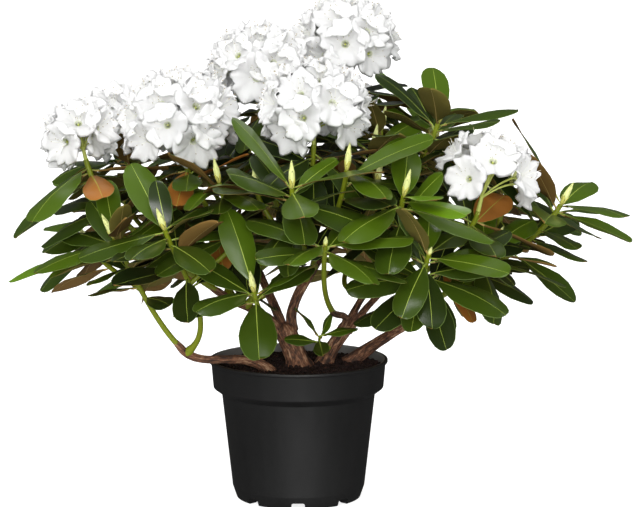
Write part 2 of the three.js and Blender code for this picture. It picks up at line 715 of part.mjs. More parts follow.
// One foliage mass: its stem, shoots, leaves and buds as a single solid.
function massSolid({ shoots, blades }) {
  return fuse([...shoots.map(shootSolid), ...blades.map((blade) => blade.solid())]);
}

// A floret's lobed funnel: its foot in the truss's core, its rim on the dome and its throat sunk
// between them.
function floretSolid(dome, outward, roll) {
  const [first, second] = planeOf(outward);
  const rise = outward.dot(dome.axis);
  const out = Math.sqrt(Math.max(0, 1 - rise * rise));
  const reach = 1 / Math.hypot(rise / dome.height, out / dome.radius);
  const rim = dome.radius * FLORET_RADIUS;
  const plane = Math.sqrt(reach * reach - rim * rim) * FLORET_INSET;
  const onAxis = (share) => dome.centre.clone().addScaledVector(outward, reach * share);
  return solidOf(
    warped(2 * LOBES, 1, (x, t, z) => {
      if (t < 0.5) return onAxis(FLORET_FOOT);
      if (Math.hypot(x, z) < 0.5) return onAxis(FLORET_THROAT);
      const angle = Math.atan2(x, z);
      const lobe = Math.cos(LOBES * angle) > 0 ? 1 : FLORET_NOTCH;
      return dome.centre.clone().addScaledVector(outward, plane)
        .addScaledVector(first, rim * lobe * Math.cos(angle + roll))
        .addScaledVector(second, rim * lobe * Math.sin(angle + roll));
    }),
  );
}

// A flower truss: a stalk, a small core, and florets spread evenly over the dome.
function trussSolid(dome) {
  const foot = dome.tip.clone().addScaledVector(dome.axis, CLEAR);
  const stalk = solidOf(tube(new THREE.LineCurve3(foot, dome.centre), () => TRUSS_STALK, STEM_SIDES, 1));
  const core = new THREE.OctahedronGeometry(dome.height * TRUSS_CORE, 0);
  core.translate(dome.centre.x, dome.centre.y, dome.centre.z);
  const [first, second] = planeOf(dome.axis);
  const lowest = Math.cos(TRUSS_LOWEST);
  const florets = Array.from({ length: TRUSS_FLORETS }, (_, i) => {
    const rise = THREE.MathUtils.lerp(1, lowest, (i + 0.4) / TRUSS_FLORETS);
    const turn = i * GOLDEN_ANGLE;
    const out = Math.sqrt(1 - rise * rise);
    const outward = dome.axis.clone().multiplyScalar(rise)
      .addScaledVector(first, out * Math.cos(turn)).addScaledVector(second, out * Math.sin(turn));
    return floretSolid(dome, outward, turn);
  });
  return fuse([stalk, solidOf(core), ...florets]);
}

function limbSolid(limb, curve) {
  const level = limb.foot ? MIX_LEVEL + CLEAR : null;
  return solidOf(tube(curve, limbRadius(limb), LIMB_SIDES, LIMB_STEPS, level));
}

function plant() {
  const group = new THREE.Group();
  group.add(namedMesh("pot", pot(), BLACK_PLASTIC));
  group.add(namedMesh("potting_mix", pottingMix(), PEAT));
  const limbs = limbCurves();
  for (const limb of LIMBS) {
    group.add(namedMesh(limb.name, limbSolid(limb, limbs.get(limb.name)), BARK));
  }
  const { crown, domes } = grow(limbs);
  for (const grown of crown) {
    group.add(namedMesh(`leaves_${grown.mass.name}`, massSolid(grown), GREEN));
  }
  for (const dome of domes) {
    group.add(namedMesh(`truss_${dome.mass.name}`, trussSolid(dome), PETALS));
  }
  return group;
}

export default plant();
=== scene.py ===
"""A white-flowered rhododendron in a black nursery pot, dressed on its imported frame."""

import json
import math
from typing import NamedTuple

import bmesh
import bpy
import numpy as np
from bpy.props import FloatProperty, FloatVectorProperty, IntProperty, PointerProperty
from mathutils import Matrix, Vector, noise

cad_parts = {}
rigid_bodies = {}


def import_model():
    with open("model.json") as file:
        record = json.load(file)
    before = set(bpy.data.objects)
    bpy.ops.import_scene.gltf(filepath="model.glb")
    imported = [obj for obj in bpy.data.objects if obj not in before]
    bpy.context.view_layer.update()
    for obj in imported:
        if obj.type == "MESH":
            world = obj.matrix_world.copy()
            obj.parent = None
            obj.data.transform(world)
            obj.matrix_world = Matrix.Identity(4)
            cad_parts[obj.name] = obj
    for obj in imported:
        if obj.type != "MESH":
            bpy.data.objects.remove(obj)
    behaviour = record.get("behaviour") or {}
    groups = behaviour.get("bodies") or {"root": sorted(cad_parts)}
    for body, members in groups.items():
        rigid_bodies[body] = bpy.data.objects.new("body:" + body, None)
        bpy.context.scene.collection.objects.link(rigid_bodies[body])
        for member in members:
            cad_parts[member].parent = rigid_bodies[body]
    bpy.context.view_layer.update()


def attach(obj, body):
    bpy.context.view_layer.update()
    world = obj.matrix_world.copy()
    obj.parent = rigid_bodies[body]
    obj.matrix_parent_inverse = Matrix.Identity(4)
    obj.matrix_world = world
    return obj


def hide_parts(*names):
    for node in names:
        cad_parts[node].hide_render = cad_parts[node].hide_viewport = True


bl_info = {
    "name": "Potted rhododendron",
    "version": (1, 0, 0),
    "blender": (4, 5, 0),
    "location": "View3D > Sidebar > Plant",
    "description": "Builds a flowering rhododendron, its pot and its studio on the packed frame",
    "category": "Object",
}

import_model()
BODY = "root"

# Lengths of the growth rule are in millimetres, as in the part's source
MM = 0.001
UP = np.array((0.0, 0.0, 1.0))
FULL_TURN = 2 * math.pi
GOLDEN_ANGLE = math.radians(137.5)
NEARLY_ALONG = 0.9
LENGTH_STEPS = 200
TINY = 1e-9

# The growth rule's seed, and what is added to it for each mass and for what only the scene draws
SEED = 20417
SEED_STEP = 101
FINER_SEED = 7000
FINER_SEED_STEP = 13
CRUMB_SEED = 21
LEAF_SEED = 31
BUD_SEED = 57
TRUSS_SEED = 77
COROLLA_SEED = 900
STAMEN_SEED = 940

# Pot and potting mix
POT_HEIGHT = 180.0
RIM_RADIUS = 115.0
LIP_OVERHANG = 2.7
LIP_HEIGHT = 4.0
COLLAR_HEIGHT = 36.0
COLLAR_TAPER = 2.7
COLLAR_STEP = 10.8
STEP_HEIGHT = 8.0
BASE_RADIUS = 80.0
BEVEL_HEIGHT = 15.5
BEVEL_WIDTH = 5.3
POT_WALL = 2.2
FLOOR_TOP = 6.0
PAD_RADIUS = 48.0
CHANNEL_DEPTH = 4.0
FOOT_WIDTH = 12.0
NOTCHES = 8
NOTCH_WIDTH = 17.0
NOTCH_HEIGHT = 8.0
MIX_LEVEL = 171.0
MIX_EDGE_DROP = 2.0
MIX_EDGE_WIDTH = 30.0
CLEAR = 0.3
SIDE_CLEAR = 0.15
MIX_RADIUS = RIM_RADIUS - LIP_OVERHANG - POT_WALL - CLEAR

# Finer shapes of the pot
ROUNDING_STEPS = 4
ROUNDING_MOST = 0.45
NOTCH_ROUNDING = 2.5
NOTCH_ROUNDING_STEPS = 3
POT_CREASE = math.radians(38)

# Finer shapes of the mix. A bump has its waves to the millimetre, its place in the noise and its share
MIX_INSET = 0.25
MIX_FOOT_INSET = 2.0
MIX_FOOT_RISE = 1.0
MIX_SEGMENTS = 120
MIX_RINGS = 34
MIX_OUTER_RING = 1.5
MIX_INNER_RING = 4.0
MIX_TOP_DEPTH = 3.0
MIX_BUMPS = ((0.05, 1.7, 0.6), (0.17, 4.1, 0.4))
MIX_EDGE_CALM = 0.5
STREWN_SEED = 11
STREWN_STEEPNESS = 0.4
STREWN_DEPTH = 8.0
CRUMB_SHARE = (0.75, 0.5)
CRUMB_FLATNESS = 0.7
CRUMB_TURN = (6.28, 6.28, 6.28)
CRUMB_LEAST = 0.35
CRUMB_RANGE = 0.9
CRUMB_RARITY = 2.5

# Limbs
LIMB_STEPS = 4
BOW = 0.32
FORK = 1.42
ROOT_FLARE = 0.45
FLARE_LENGTH = 0.16

# Finer shapes of the limbs: their feet in the mix, their forks, and how they run on or end
LIMB_POINTS = 44
FOOT_DEPTHS = np.array((8.0, 4.0))
FOOT_SWELL = np.array((1.1, 1.06))
FORK_PLACES = np.array((0.62, 0.8))
FORK_SLIMNESS = 0.9
LEAD_PLACES = np.linspace(0.02, 0.08, 6)
LEAD_SLIMNESS = 0.97
LEAD_RADIUS = 3.4
STUB_SHARES = np.array((0.35, 0.65, 0.85, 0.97))
STUB_LENGTH = 0.8

# Relief of tubes: how fast the grain runs, how far apart limbs lie in it, and its two patterns
GRAIN_RUN = 26.0
GRAIN_APART = 40.0
GRAIN_DETAIL = 3.0
GRAIN_ROUGHNESS = 0.62
GRAIN_LIFT = 1.3
KNOB_SCALE = 0.3
KNOB_DETAIL = 1.0
KNOB_LIFT = 1.1
NOISE_MIDDLE = 0.5

# Green stems and shoots. A pair is the least of a drawn value and its range
STEM_STEPS = 4
SHOOT_STEPS = 2
SHOOT_SPREAD = 78.0
SPREAD_SHARE = (0.85, 0.3)
SHOOT_DROP = 30.0
DROP_SHARE = (0.5, 1.0)
SHOOT_FROM = (0.5, 0.15)
SHOOT_TURNS = 9
SHOOT_STRAY = 15.0
SHOOT_ROOM = 0.6 * SHOOT_SPREAD
SHOOT_DOME_GAP = 20.0
TIP_LEAN = 0.8
TRUSS_LEAN = 0.35
CROWN_HEART = np.array((0.0, 20.0, 230.0))
BUD_LENGTH = 34.0
BUD_RADIUS = 5.6

# Finer shapes of the shoots. A taper is the share of the radius at the foot, and what is lost to the tip
SHOOT_POINTS = 26
SHOOT_SIDES = 9
SHOOT_RELIEF = 0.5
SHOOT_GRAIN = 1.2
LEADER_TAPER = (1.06, 0.2)
SIDE_TAPER = (0.95, 0.1)
SHOOT_COLLAR = 0.55
SHOOT_COLLAR_LENGTH = 0.035

# Leaves
LEAF_LENGTH = 108.0
LEAF_SLIMNESS = 0.38
LEAF_SWELL = 0.72
LEAF_BLUNT = 0.48
PETIOLE = 0.13
PETIOLE_HALF_WIDTH = 0.9
LEADER_LEAVES = 8
SIDE_LEAVES = 6
STEM_LEAVES = 2
WHORL_DEPTH = 26.0
LEAF_FALL = 52.0
CROWNED_FALL = 68.0
WHORL_FALL = 30.0
FALL_STRAY = 16.0
SWING_STRAY = 0.3
ROLL_STRAY = 0.5
LEAF_SHARE = (0.82, 0.34)
LEAF_BEND = (0.12, 0.3)
LOWEST_PLACE = 0.25
OLDER_DEPTH = 120.0
TIER_STEP = 46.0
WHORL_AGE = 0.5
TIER_AGE = 0.3
LEAF_GAP = 5.0
KIN_GAP = 4.0
KIN_ROOT = 0.12
LIMB_GAP = 3.0
ROD_POINTS = 12
CANOPY_ROOM = 2000
TURNS = (
    (0, 0), (11, 0), (-11, 0), (0, 14), (0, -14), (20, 10), (20, -10), (-20, 12), (-20, -12),
    (32, 0), (-30, 0),
)
SHORTER = (1.0, 0.8)
OUTLINE_STEPS = np.array((0.14, 0.3, 0.46, 0.62, 0.78, 0.92, 1.0))
OUTLINE_HANDS = np.array(((1.0,) * 6 + (0.0,), (-1.0,) * 6 + (0.0,)))
LOWEST_LEAF = 246.0
CROWN_LOW = np.array((-394.0, -330.0))
CROWN_HIGH = np.array((444.0, 350.0, 645.0))

# Finer leaves, which only the scene has
FINER_FROM = 14.0
FINER_DEPTH = 90.0
FINER_LOWEST_PLACE = 0.3
FINER_FALL = 54.0
FINER_WHORL_FALL = 40.0
FINER_FALL_STRAY = 18.0
FINER_ROLL_STRAY = 0.7
FINER_SHARE = (0.68, 0.34)
FINER_BEND = (0.15, 0.35)
FINER_EASE = 0.3
FINER_AGE = 0.45
FINER_WHORL_AGE = 0.55

# Shape of a leaf, by rows along it and columns across it
LEAF_ROWS = np.array((0, 0.12, 0.19, 0.31, 0.46, 0.62, 0.77, 0.89, 0.96, 0.988, 1.0))
LEAF_COLUMNS = 6
LEAF_GROOVE = np.array((0, 0, 0.5, 0.5, 0, 0))
LEAF_BODY = np.array((0, 0.7, 1.5, 1.5, 0.7, 0))
LEAF_CHANCES = 5
LEAF_TIP_HALF_WIDTH = 0.35
STALK_NARROWING = 1.5
STALK_THICKNESS = 1.5
STALK_RISE = 0.5
RIB_NARROWING = 1.25
RIB_MOST = 0.4
MARGIN_MOST = 0.3
BLADE_OPENING = 0.12
CAMBER_LEAST = 0.1
CAMBER_RANGE = 0.3
CUPPED_FROM = 0.72
CUPPED_CAMBER = 0.28
WAVES = 1.6
WAVE_HEIGHT = 1.3
DROOP = 0.7
DROOP_FROM = 0.55
DROOP_OVER = 0.45
LEAF_TWIST = 0.5

# Tints of the leaves, and what makes one lighter: vigour, youth, chance, and painted light on the crown's
# outside with painted shade inside it
GREENS = ("deep", "dark", "green", "fresh", "bright")
UPPER_TINTS = (*GREENS, "felt_orange")
LOWER_TINTS = ("felt", "felt_olive", "felt_orange")
PAINTED_LIGHT_REACH = 170.0
PAINTED_OUTER_LIGHT = 0.12
PAINTED_INNER_SHADE = -0.1
VIGOUR_LIGHT = 0.5
YOUTH_LIGHT = 0.42
LIGHT_STRAY = 0.24
TINT_STEP = 4.6
TINT_START = 0.2
FELT_SHARE = 0.5
ORANGE_SHARE = 0.1

# Buds. A tier of scales has its lower and upper end on the bud, and its finish
BUD_RINGS = np.linspace(0.01, 0.985, 9)
BUD_SIDES = 8
BUD_BELLY = 0.72
BUD_TAPER = 0.85
BUD_CORE = 0.9
BUD_CORE_LEAST = 0.15
BUD_SHARE = (0.94, 0.24)
BUD_SINK = 1.5
SCALE_TIERS = ((0.0, 0.42, 1), (0.1, 0.68, 0), (0.26, 0.86, 0), (0.45, 1.0, 0))
SCALES = 4
SCALE_ROWS = 6
SCALE_COLUMNS = 4
SCALE_SPREAD = 0.95
SCALE_POINT = 2.2
SCALE_NARROWEST = 0.012
SCALE_TURN = 0.8
SCALE_FIT = 0.96
SCALE_CLEAR = 0.5
SCALE_NEST = 0.08
SCALE_FLARES = (1.3, 0.5, 0.5, 0.5)
SCALE_THICKNESS = 0.4

# Flower trusses
TRUSS_FLATNESS = 0.86
TRUSS_RISE = 0.8
TRUSS_NECK = 6.0
LOOSE_TRUSS = "right_bloom"
FLORET_FIRST = 0.35
FLORET_SWING = 0.35
FLORET_SHARE = (0.88, 0.24)
FLORET_RIM = 0.75
FLORET_SINK = 0.95
FLORET_LIFT = 0.12
FLORET_STRAY = 0.14
FLORET_ROLL = 0.3
INNER_FIRST = 0.5
INNER_SHARE = 0.85
PETAL_SCATTER = 0.012

# Stalks of a truss: the neck from its stem to its hub, and a stalk from there to each floret
HUB_DEPTH = 0.5
NECK_OVERLAP = 4.0
NECK_POINTS = 6
NECK_RADII = (3.0, 2.4)
STALK_OVERLAP = 2.0
STALK_POINTS = 7
STALK_RADII = (1.0, 1.5)
STALK_SIDES = 6
STALK_RELIEF = 0.1
STALK_GRAIN = 1.0

# Shape of a floret of unit radius. A ripple has its turns round the rim and its share
FLORET_SHAPES = 8
FLORET_ROWS = np.array((0, 0.11, 0.3, 0.53, 0.74, 0.89, 1.0))
FLORET_DEPTH = 0.54
LOBES = 5
LOBE_COLUMNS = 12
LOBE_NOTCH = 0.18
LOBE_CUP = 0.05
LOBE_TILT = 0.14
FLARE_FROM = 0.25
THROAT_ROWS = 1
THROAT_RADIUS = 0.02
BELL_OPENING = 0.88
BELL_BELLY = 0.85
BELL_TOP = 0.9
RIM_FALL = 0.12
RIPPLES = ((3, 0.6), (7, 0.8), (11, 0.85), (14, 0.5))
RIPPLE_OUT = 0.03
RIPPLE_UP = 0.095
CREASE_WIDTH = 0.1
CREASE_DEPTH = 0.025
PETAL_THICKNESS = 0.016

# Stamens and throat marks of a floret of unit radius
SMALL_SIDES = 4
STAMENS = 5
STAMEN_POINTS = np.linspace(0, 1, 4)
STAMEN_SWING = 0.6
STAMEN_OUT = 0.04
STAMEN_REACH = (0.1, 0.28)
STAMEN_CURVE = 1.6
STAMEN_LEAN = 0.14
STAMEN_FOOT = 0.1
STAMEN_LENGTH = (0.58, 0.24)
STAMEN_RADIUS = 0.008
ANTHER_HEIGHTS = (-0.025, 0.012, 0.045)
ANTHER_RADII = np.array((0.009, 0.018, 0.009))
THROAT_MARKS = 6
MARK_ROWS = 2.5
MARK_THICKNESS = 0.01
MARK_RADIUS = (0.008, 0.012)

# Studio: the floor in metres, the camera's sensor in millimetres, and how wide each kind of light is
FLOOR_HALF = 60.0
FLOOR_DROP = 0.0004
SENSOR = 36.0
SOFT_LIGHT = math.radians(60)
SMALL_LIGHT = math.radians(14)
LOW_LIGHT = math.radians(24)


class Limb(NamedTuple):
    """A woody stem with a foot on the potting mix, or a bough on the end of its parent."""

    name: str
    tip: tuple
    radii: tuple
    foot: tuple = None
    lean: tuple = None
    rise: tuple = None
    parent: str = None
    turn: float = 0.0


class Mass(NamedTuple):
    """A foliage mass: its limb and place there, its stem's tip, side shoots, truss, leaves and bud."""

    name: str
    limb: str
    at: float
    tip: tuple
    sides: int
    truss: float = 0.0
    size: float = 1.0
    tiers: int = 1
    leaves: int = LEADER_LEAVES
    older: int = STEM_LEAVES
    bud: float = 1.0
    lowest: float = LOWEST_LEAF


LIMBS = (
    Limb("trunk", (-16, 4, 214), (12.5, 14.5), foot=(0, 0), lean=(-0.25, 0, 1)),
    Limb("stem_right", (60, 16, 216), (9, 9.5), foot=(34, 18), lean=(0.35, 0, 1)),
    Limb("stem_far_right", (158, -24, 240), (7.5, 5.5), foot=(70, 30), lean=(0.8, -0.1, 0.7)),
    Limb(
        "stem_low_left", (-146, -62, 202), (6, 5), foot=(-40, -34), lean=(-0.65, -0.14, 0.74),
        rise=(-0.62, -0.2, 0.7),
    ),
    Limb("bough_left", (-98, -26, 268), (6.2, 5), parent="trunk", turn=205),
    Limb("bough_up", (34, 22, 322), (7, 5.5), parent="trunk", turn=5),
    Limb("bough_back", (-62, 118, 292), (6.2, 5), parent="trunk", turn=105),
    Limb("bough_front", (44, -62, 250), (4.6, 3.8), parent="stem_right", turn=230),
    Limb("bough_right", (122, -34, 290), (4.8, 4), parent="stem_right", turn=340),
    Limb("bough_back_right", (112, 118, 292), (4.8, 4.2), parent="stem_right", turn=90),
)

MASSES = (
    Mass("far_left", "bough_left", 1, (-266, -48, 442), 1, truss=46, size=1.12),
    Mass("left_top", "bough_left", 0.9, (-228, 58, 444), 1, truss=52),
    Mass("left_crown", "bough_left", 0.78, (-140, -70, 444), 1, truss=72),
    Mass("left_low", "stem_low_left", 1, (-226, -110, 350), 1, lowest=262),
    Mass("left_front", "stem_low_left", 0.93, (-160, -168, 368), 1, lowest=262),
    Mass("upper_left", "bough_left", 0.62, (-96, -120, 420), 0),
    Mass("top_left", "bough_up", 0.86, (-48, 10, 508), 1, truss=63),
    Mass("top", "bough_up", 1, (60, 76, 537), 1, truss=66),
    Mass("top_front", "bough_up", 0.93, (20, -98, 466), 1, truss=66),
    Mass("front_upper", "bough_up", 0.6, (-6, -180, 420), 1),
    Mass("front_right_upper", "bough_up", 0.75, (60, -160, 440), 0),
    Mass("front_right", "bough_right", 1, (128, -190, 412), 1),
    Mass("front_centre", "bough_front", 1, (34, -230, 358), 0, older=0, bud=0.4, lowest=300),
    Mass("front_low", "bough_left", 0.4, (-52, -190, 296), 0, leaves=7, older=0, lowest=234),
    Mass(
        "base", "stem_right", 0.4, (28, -30, 214), 0, size=0.5, leaves=SIDE_LEAVES, older=0, bud=0,
        lowest=192,
    ),
    Mass("right_low", "stem_far_right", 1, (158, -208, 344), 0, tiers=2, bud=0.4, lowest=228),
    Mass("right_mid", "stem_far_right", 0.74, (240, -70, 330), 0),
    Mass("right_bloom", "stem_far_right", 0.9, (222, -122, 386), 0, truss=62),
    Mass("far_right", "stem_far_right", 0.58, (334, -10, 380), 1, size=1.12),
    Mass("upper_right", "bough_right", 0.8, (176, -38, 487), 2),
    Mass("back_right", "bough_back_right", 1, (176, 150, 462), 2),
    Mass("back_far_right", "bough_back_right", 0.7, (268, 120, 380), 1),
    Mass("back_top", "bough_back_right", 0.9, (44, 180, 448), 1, truss=56),
    Mass("back_low", "bough_back_right", 0.5, (84, 214, 324), 1),
    Mass("back", "bough_back", 0.85, (-30, 240, 386), 1),
    Mass("back_left", "bough_back", 1, (-136, 164, 440), 1, truss=54),
    Mass("back_far_left", "bough_back", 0.7, (-232, 136, 366), 1),
    Mass("back_low_left", "bough_back", 0.5, (-120, 204, 310), 1),
)


# Vectors and curves


def unit(vector):
    return vector / np.linalg.norm(vector, axis=-1, keepdims=True)


def square_to(axis, direction):
    """The part of a direction that stands square to an axis, at unit length."""
    return unit(direction - axis * np.dot(axis, direction))


def plane_of(axis):
    """Two unit vectors square to an axis and to each other."""
    first = square_to(axis, UP if abs(axis[2]) < NEARLY_ALONG else np.array((1.0, 0.0, 0.0)))
    return first, np.cross(axis, first)


def in_plane(plane, angle):
    """A direction in the plane of two unit vectors."""
    first, second = plane
    return first * math.cos(angle) + second * math.sin(angle)


def turned_about(vector, axis, angle):
    """A vector turned about a unit axis that it stands square to."""
    return vector * math.cos(angle) + np.cross(axis, vector) * math.sin(angle)


def seeded_numbers(seed):
    """The seeded numbers from 0 to 1 that the growth rule draws on, mixed as in the part's source."""
    whole = 0xFFFFFFFF
    state = seed & whole

    def draw():
        nonlocal state
        state = (state + 0x6D2B79F5) & whole
        mixed = ((state ^ (state >> 15)) * (1 | state)) & whole
        mixed = ((mixed + (((mixed ^ (mixed >> 7)) * (61 | mixed)) & whole)) & whole) ^ mixed
        return (mixed ^ (mixed >> 14)) / (whole + 1)

    return draw


def drawn(draw, limits):
    """A drawn number, from its least value and its range."""
    least, extent = limits
    return least + extent * draw()


def stray(draw, extent):
    """A drawn number to either side of nought."""
    return extent * (draw() - 0.5)


def stray_vector(draw, extent):
    return np.array([stray(draw, extent) for _ in range(3)])


class Bow:
    """A curve that leaves its base along one direction and comes into its tip along another."""

    def __init__(self, base, leave, tip, arrive):
        pull = np.linalg.norm(tip - base) * BOW
        self.corners = np.array((base, base + leave * pull, tip - arrive * pull, tip), float)

    def at(self, t):
        t = np.asarray(t, float)[..., None]
        a, b, c, d = self.corners
        return a * (1 - t) ** 3 + b * 3 * t * (1 - t) ** 2 + c * 3 * t**2 * (1 - t) + d * t**3

    def heading(self, t):
        t = np.asarray(t, float)[..., None]
        a, b, c, d = self.corners
        return unit((b - a) * (1 - t) ** 2 + (c - b) * 2 * t * (1 - t) + (d - c) * t**2)

    def length(self):
        return np.linalg.norm(np.diff(self.at(np.linspace(0, 1, LENGTH_STEPS + 1)), axis=0), axis=1).sum()

    def on_steps(self, steps, t):
        """The middle of a tube of straight steps along the curve."""
        step = min(steps - 1, math.floor(t * steps))
        low, high = self.at(np.array((step, step + 1)) / steps)
        return low + (high - low) * (t * steps - step)


# Limbs, stems and shoots by the source's rule


def limb_radius(limb, t):
    """An even taper, with a flare at the foot of a stem that rises from the ground."""
    flare = ROOT_FLARE * np.exp(-t / FLARE_LENGTH) if limb.foot else 0.0
    return (limb.radii[0] + (limb.radii[1] - limb.radii[0]) * t) * (1 + flare)


def limb_curves():
    curves = {}
    for limb in LIMBS:
        tip = np.array(limb.tip, float)
        if limb.foot:
            base = np.array((*limb.foot, MIX_LEVEL + CLEAR))
            leave = unit(np.array(limb.lean, float))
        else:
            parent = curves[limb.parent]
            leave = parent.heading(1)
            turn = math.radians(limb.turn)
            side = square_to(leave, np.array((math.cos(turn), math.sin(turn), 0)))
            base = parent.at(1) + leave * CLEAR + side * limb.radii[0] * FORK
        arrive = np.array(limb.rise, float) if limb.rise else tip - base
        curves[limb.name] = Bow(base, leave, tip, unit(arrive))
    return curves


def tip_direction(tip, lean):
    """Where a stem points at its tip: up, and a little out of the crown's heart."""
    return unit(UP + unit(tip - CROWN_HEART) * lean)


def stem_curve(mass, limb, curve):
    """A mass's stem leaves the end of its limb straight on, or its side square to the limb."""
    tip = np.array(mass.tip, float)
    base = curve.on_steps(LIMB_STEPS, mass.at)
    leave = curve.heading(mass.at)
    if mass.at < 1:
        leave = square_to(leave, tip - base)
        base = base + leave * (limb_radius(limb, mass.at) + SIDE_CLEAR)
    lean = TRUSS_LEAN if mass.truss else TIP_LEAN
    return Bow(base + leave * CLEAR, leave, tip, tip_direction(tip, lean))


def bud_of(mass):
    """The size of the bud that ends a mass's leading stem, if no truss does."""
    return 0.0 if mass.truss else mass.bud


class Dome(NamedTuple):
    """The space of one truss: an ellipsoid on the tip of its stem."""

    mass: int
    axis: np.ndarray
    radius: float
    height: float
    tip: np.ndarray
    centre: np.ndarray


def truss_dome(index, stem):
    radius = MASSES[index].truss
    axis = stem.heading(1)
    height = radius * TRUSS_FLATNESS
    return Dome(index, axis, radius, height, stem.at(1), stem.at(1) + axis * height * TRUSS_RISE)


def inside_dome(dome, places, gap):
    offset = places - dome.centre
    rise = offset @ dome.axis
    out = np.sqrt(np.maximum(0, (offset**2).sum(-1) - rise**2))
    return np.hypot(rise / (dome.height + gap), out / (dome.radius + gap)) < 1


class Rod(NamedTuple):
    """The line down the middle of a limb, or of a shoot and its bud, for the clearance tests."""

    owner: int
    radius: float
    line: np.ndarray


def rod_of(owner, curve, radius, steps, bud=0.0):
    line = [curve.on_steps(steps, i / ROD_POINTS) for i in range(ROD_POINTS + 1)]
    for share in (0.5, 1.0):
        line.append(curve.at(1) + curve.heading(1) * (share * BUD_LENGTH if bud else 0))
    return Rod(owner, radius, np.array(line))


def rods_meet(one, two):
    start, end = two.line[:-1], two.line[1:]
    run = end - start
    offset = one.line[:, None] - start
    share = np.clip((offset * run).sum(-1) / np.maximum((run**2).sum(-1), TINY), 0, 1)
    apart = np.linalg.norm(offset - run * share[..., None], axis=-1)
    return bool((apart < one.radius + two.radius + LIMB_GAP).any())


class Shoot(NamedTuple):
    """A leading stem or a side shoot of a mass."""

    mass: int
    curve: Bow
    leaves: int
    leader: bool
    bud: float


def flat_reach(place):
    return np.linalg.norm((place - CROWN_HEART)[:2])


def grow_shoots(index, stem, draw, rods, domes):
    """A mass's leading stem and its side shoots, each turned about the stem until it finds room."""
    mass = MASSES[index]
    tip, axis = stem.at(1), stem.heading(1)
    plane = plane_of(axis)
    shoots = [Shoot(index, stem, mass.leaves, True, bud_of(mass))]
    phase = draw() * FULL_TURN
    for k in range(mass.sides):
        spread = SHOOT_SPREAD * drawn(draw, SPREAD_SHARE)
        drop = SHOOT_DROP * drawn(draw, DROP_SHARE)
        start = stem.at(drawn(draw, SHOOT_FROM))
        for turn in range(SHOOT_TURNS):
            angle = phase + k * GOLDEN_ANGLE + turn * FULL_TURN / SHOOT_TURNS
            end = tip - axis * drop + in_plane(plane, angle) * spread
            curve = Bow(start, unit(end - start), end, tip_direction(end, TIP_LEAN))
            shoot = rod_of(index, curve, BUD_RADIUS, SHOOT_STEPS, 1.0)
            if any(rod.owner != index and rods_meet(shoot, rod) for rod in rods):
                continue
            if any(rod.owner >= 0 and np.linalg.norm(rod.line[-1] - end) < SHOOT_ROOM for rod in rods):
                continue
            if any(inside_dome(dome, shoot.line, SHOOT_DOME_GAP).any() for dome in domes):
                continue
            if flat_reach(end) > flat_reach(tip) + SHOOT_STRAY:
                continue
            rods.append(shoot)
            shoots.append(Shoot(index, curve, SIDE_LEAVES, False, 1.0))
            break
    return shoots


# Leaves by the source's rule


def half_width(u, length):
    """Half a leaf's width at a share of its length: a thin stalk, then an oblong blade."""
    t = np.clip((u - PETIOLE) / (1 - PETIOLE), 0, 1)
    widest = LEAF_SWELL / (LEAF_SWELL + LEAF_BLUNT)
    swell = (t / widest) ** LEAF_SWELL * ((1 - t) / (1 - widest)) ** LEAF_BLUNT
    blade = np.maximum(PETIOLE_HALF_WIDTH * (1 - t), 0.5 * LEAF_SLIMNESS * length * swell)
    return np.where(u <= PETIOLE, PETIOLE_HALF_WIDTH, blade)


class Blade:
    """A leaf blade as an arc that bends away from its upper side."""

    def __init__(self, mass, base, along, upper, length, bend):
        self.mass = mass
        self.base, self.along, self.upper = base, along, upper
        self.side = np.cross(upper, along)
        self.length, self.bend, self.arc = length, bend, length / bend
        self.middle = self.point(np.array(0.5), np.array(0.0))
        self.outline = self.point(np.broadcast_to(OUTLINE_STEPS, OUTLINE_HANDS.shape), OUTLINE_HANDS)

    def point(self, u, across):
        turn = (self.bend * u)[..., None]
        width = (across * half_width(u, self.length))[..., None]
        arc = self.along * np.sin(turn) + self.upper * (np.cos(turn) - 1)
        return self.base + arc * self.arc + self.side * width


class Canopy:
    """Every blade grown so far, as arrays for the clearance tests."""

    def __init__(self, room):
        self.count = 0
        self.frames = np.zeros((room, 4, 3))
        self.shapes = np.zeros((room, 3))
        self.middles = np.zeros((room, 3))
        self.outlines = np.zeros((room, *OUTLINE_HANDS.shape, 3))
        self.masses = np.zeros(room, int)

    def add(self, blade):
        k = self.count
        self.frames[k] = blade.base, blade.along, blade.upper, blade.side
        self.shapes[k] = blade.length, blade.bend, blade.arc
        self.middles[k] = blade.middle
        self.outlines[k] = blade.outline
        self.masses[k] = blade.mass
        self.count = k + 1

    def near(self, blade):
        """The numbers of the blades that a new one could touch."""
        reach = (self.shapes[: self.count, 0] + blade.length) / 2 + LEAF_GAP
        apart = np.linalg.norm(self.middles[: self.count] - blade.middle, axis=1)
        return np.nonzero(apart < reach)[0]


def blades_meet(frames, shapes, lines, gap, root):
    """Which lines of places pass through a blade beyond its root, or within the gap of it."""
    length, bend, arc = (shapes[..., i, None] for i in range(3))
    offset = lines - frames[..., 0, None, :]
    forward, height, across = (np.einsum("...pk,...k->...p", offset, frames[..., i, :]) for i in (1, 2, 3))
    height = height + arc
    u = np.arctan2(forward, height) / bend
    height = np.hypot(forward, height) - arc

    def covered(u, across):
        wide = np.abs(across) < half_width(np.clip(u, 0, 1), length) + gap
        return wide & (u >= root) & (u <= 1 + gap / length)

    near = (np.abs(height) < gap) & covered(u, across)
    low, high = height[..., :-1], height[..., 1:]
    crossing = low * high <= 0
    share = np.where(crossing, low / np.where(low == high, 1, low - high), 0)
    crossed_u = u[..., :-1] + (u[..., 1:] - u[..., :-1]) * share
    crossed = across[..., :-1] + (across[..., 1:] - across[..., :-1]) * share
    return near.any(-1) | (crossing & covered(crossed_u, crossed)).any(-1)


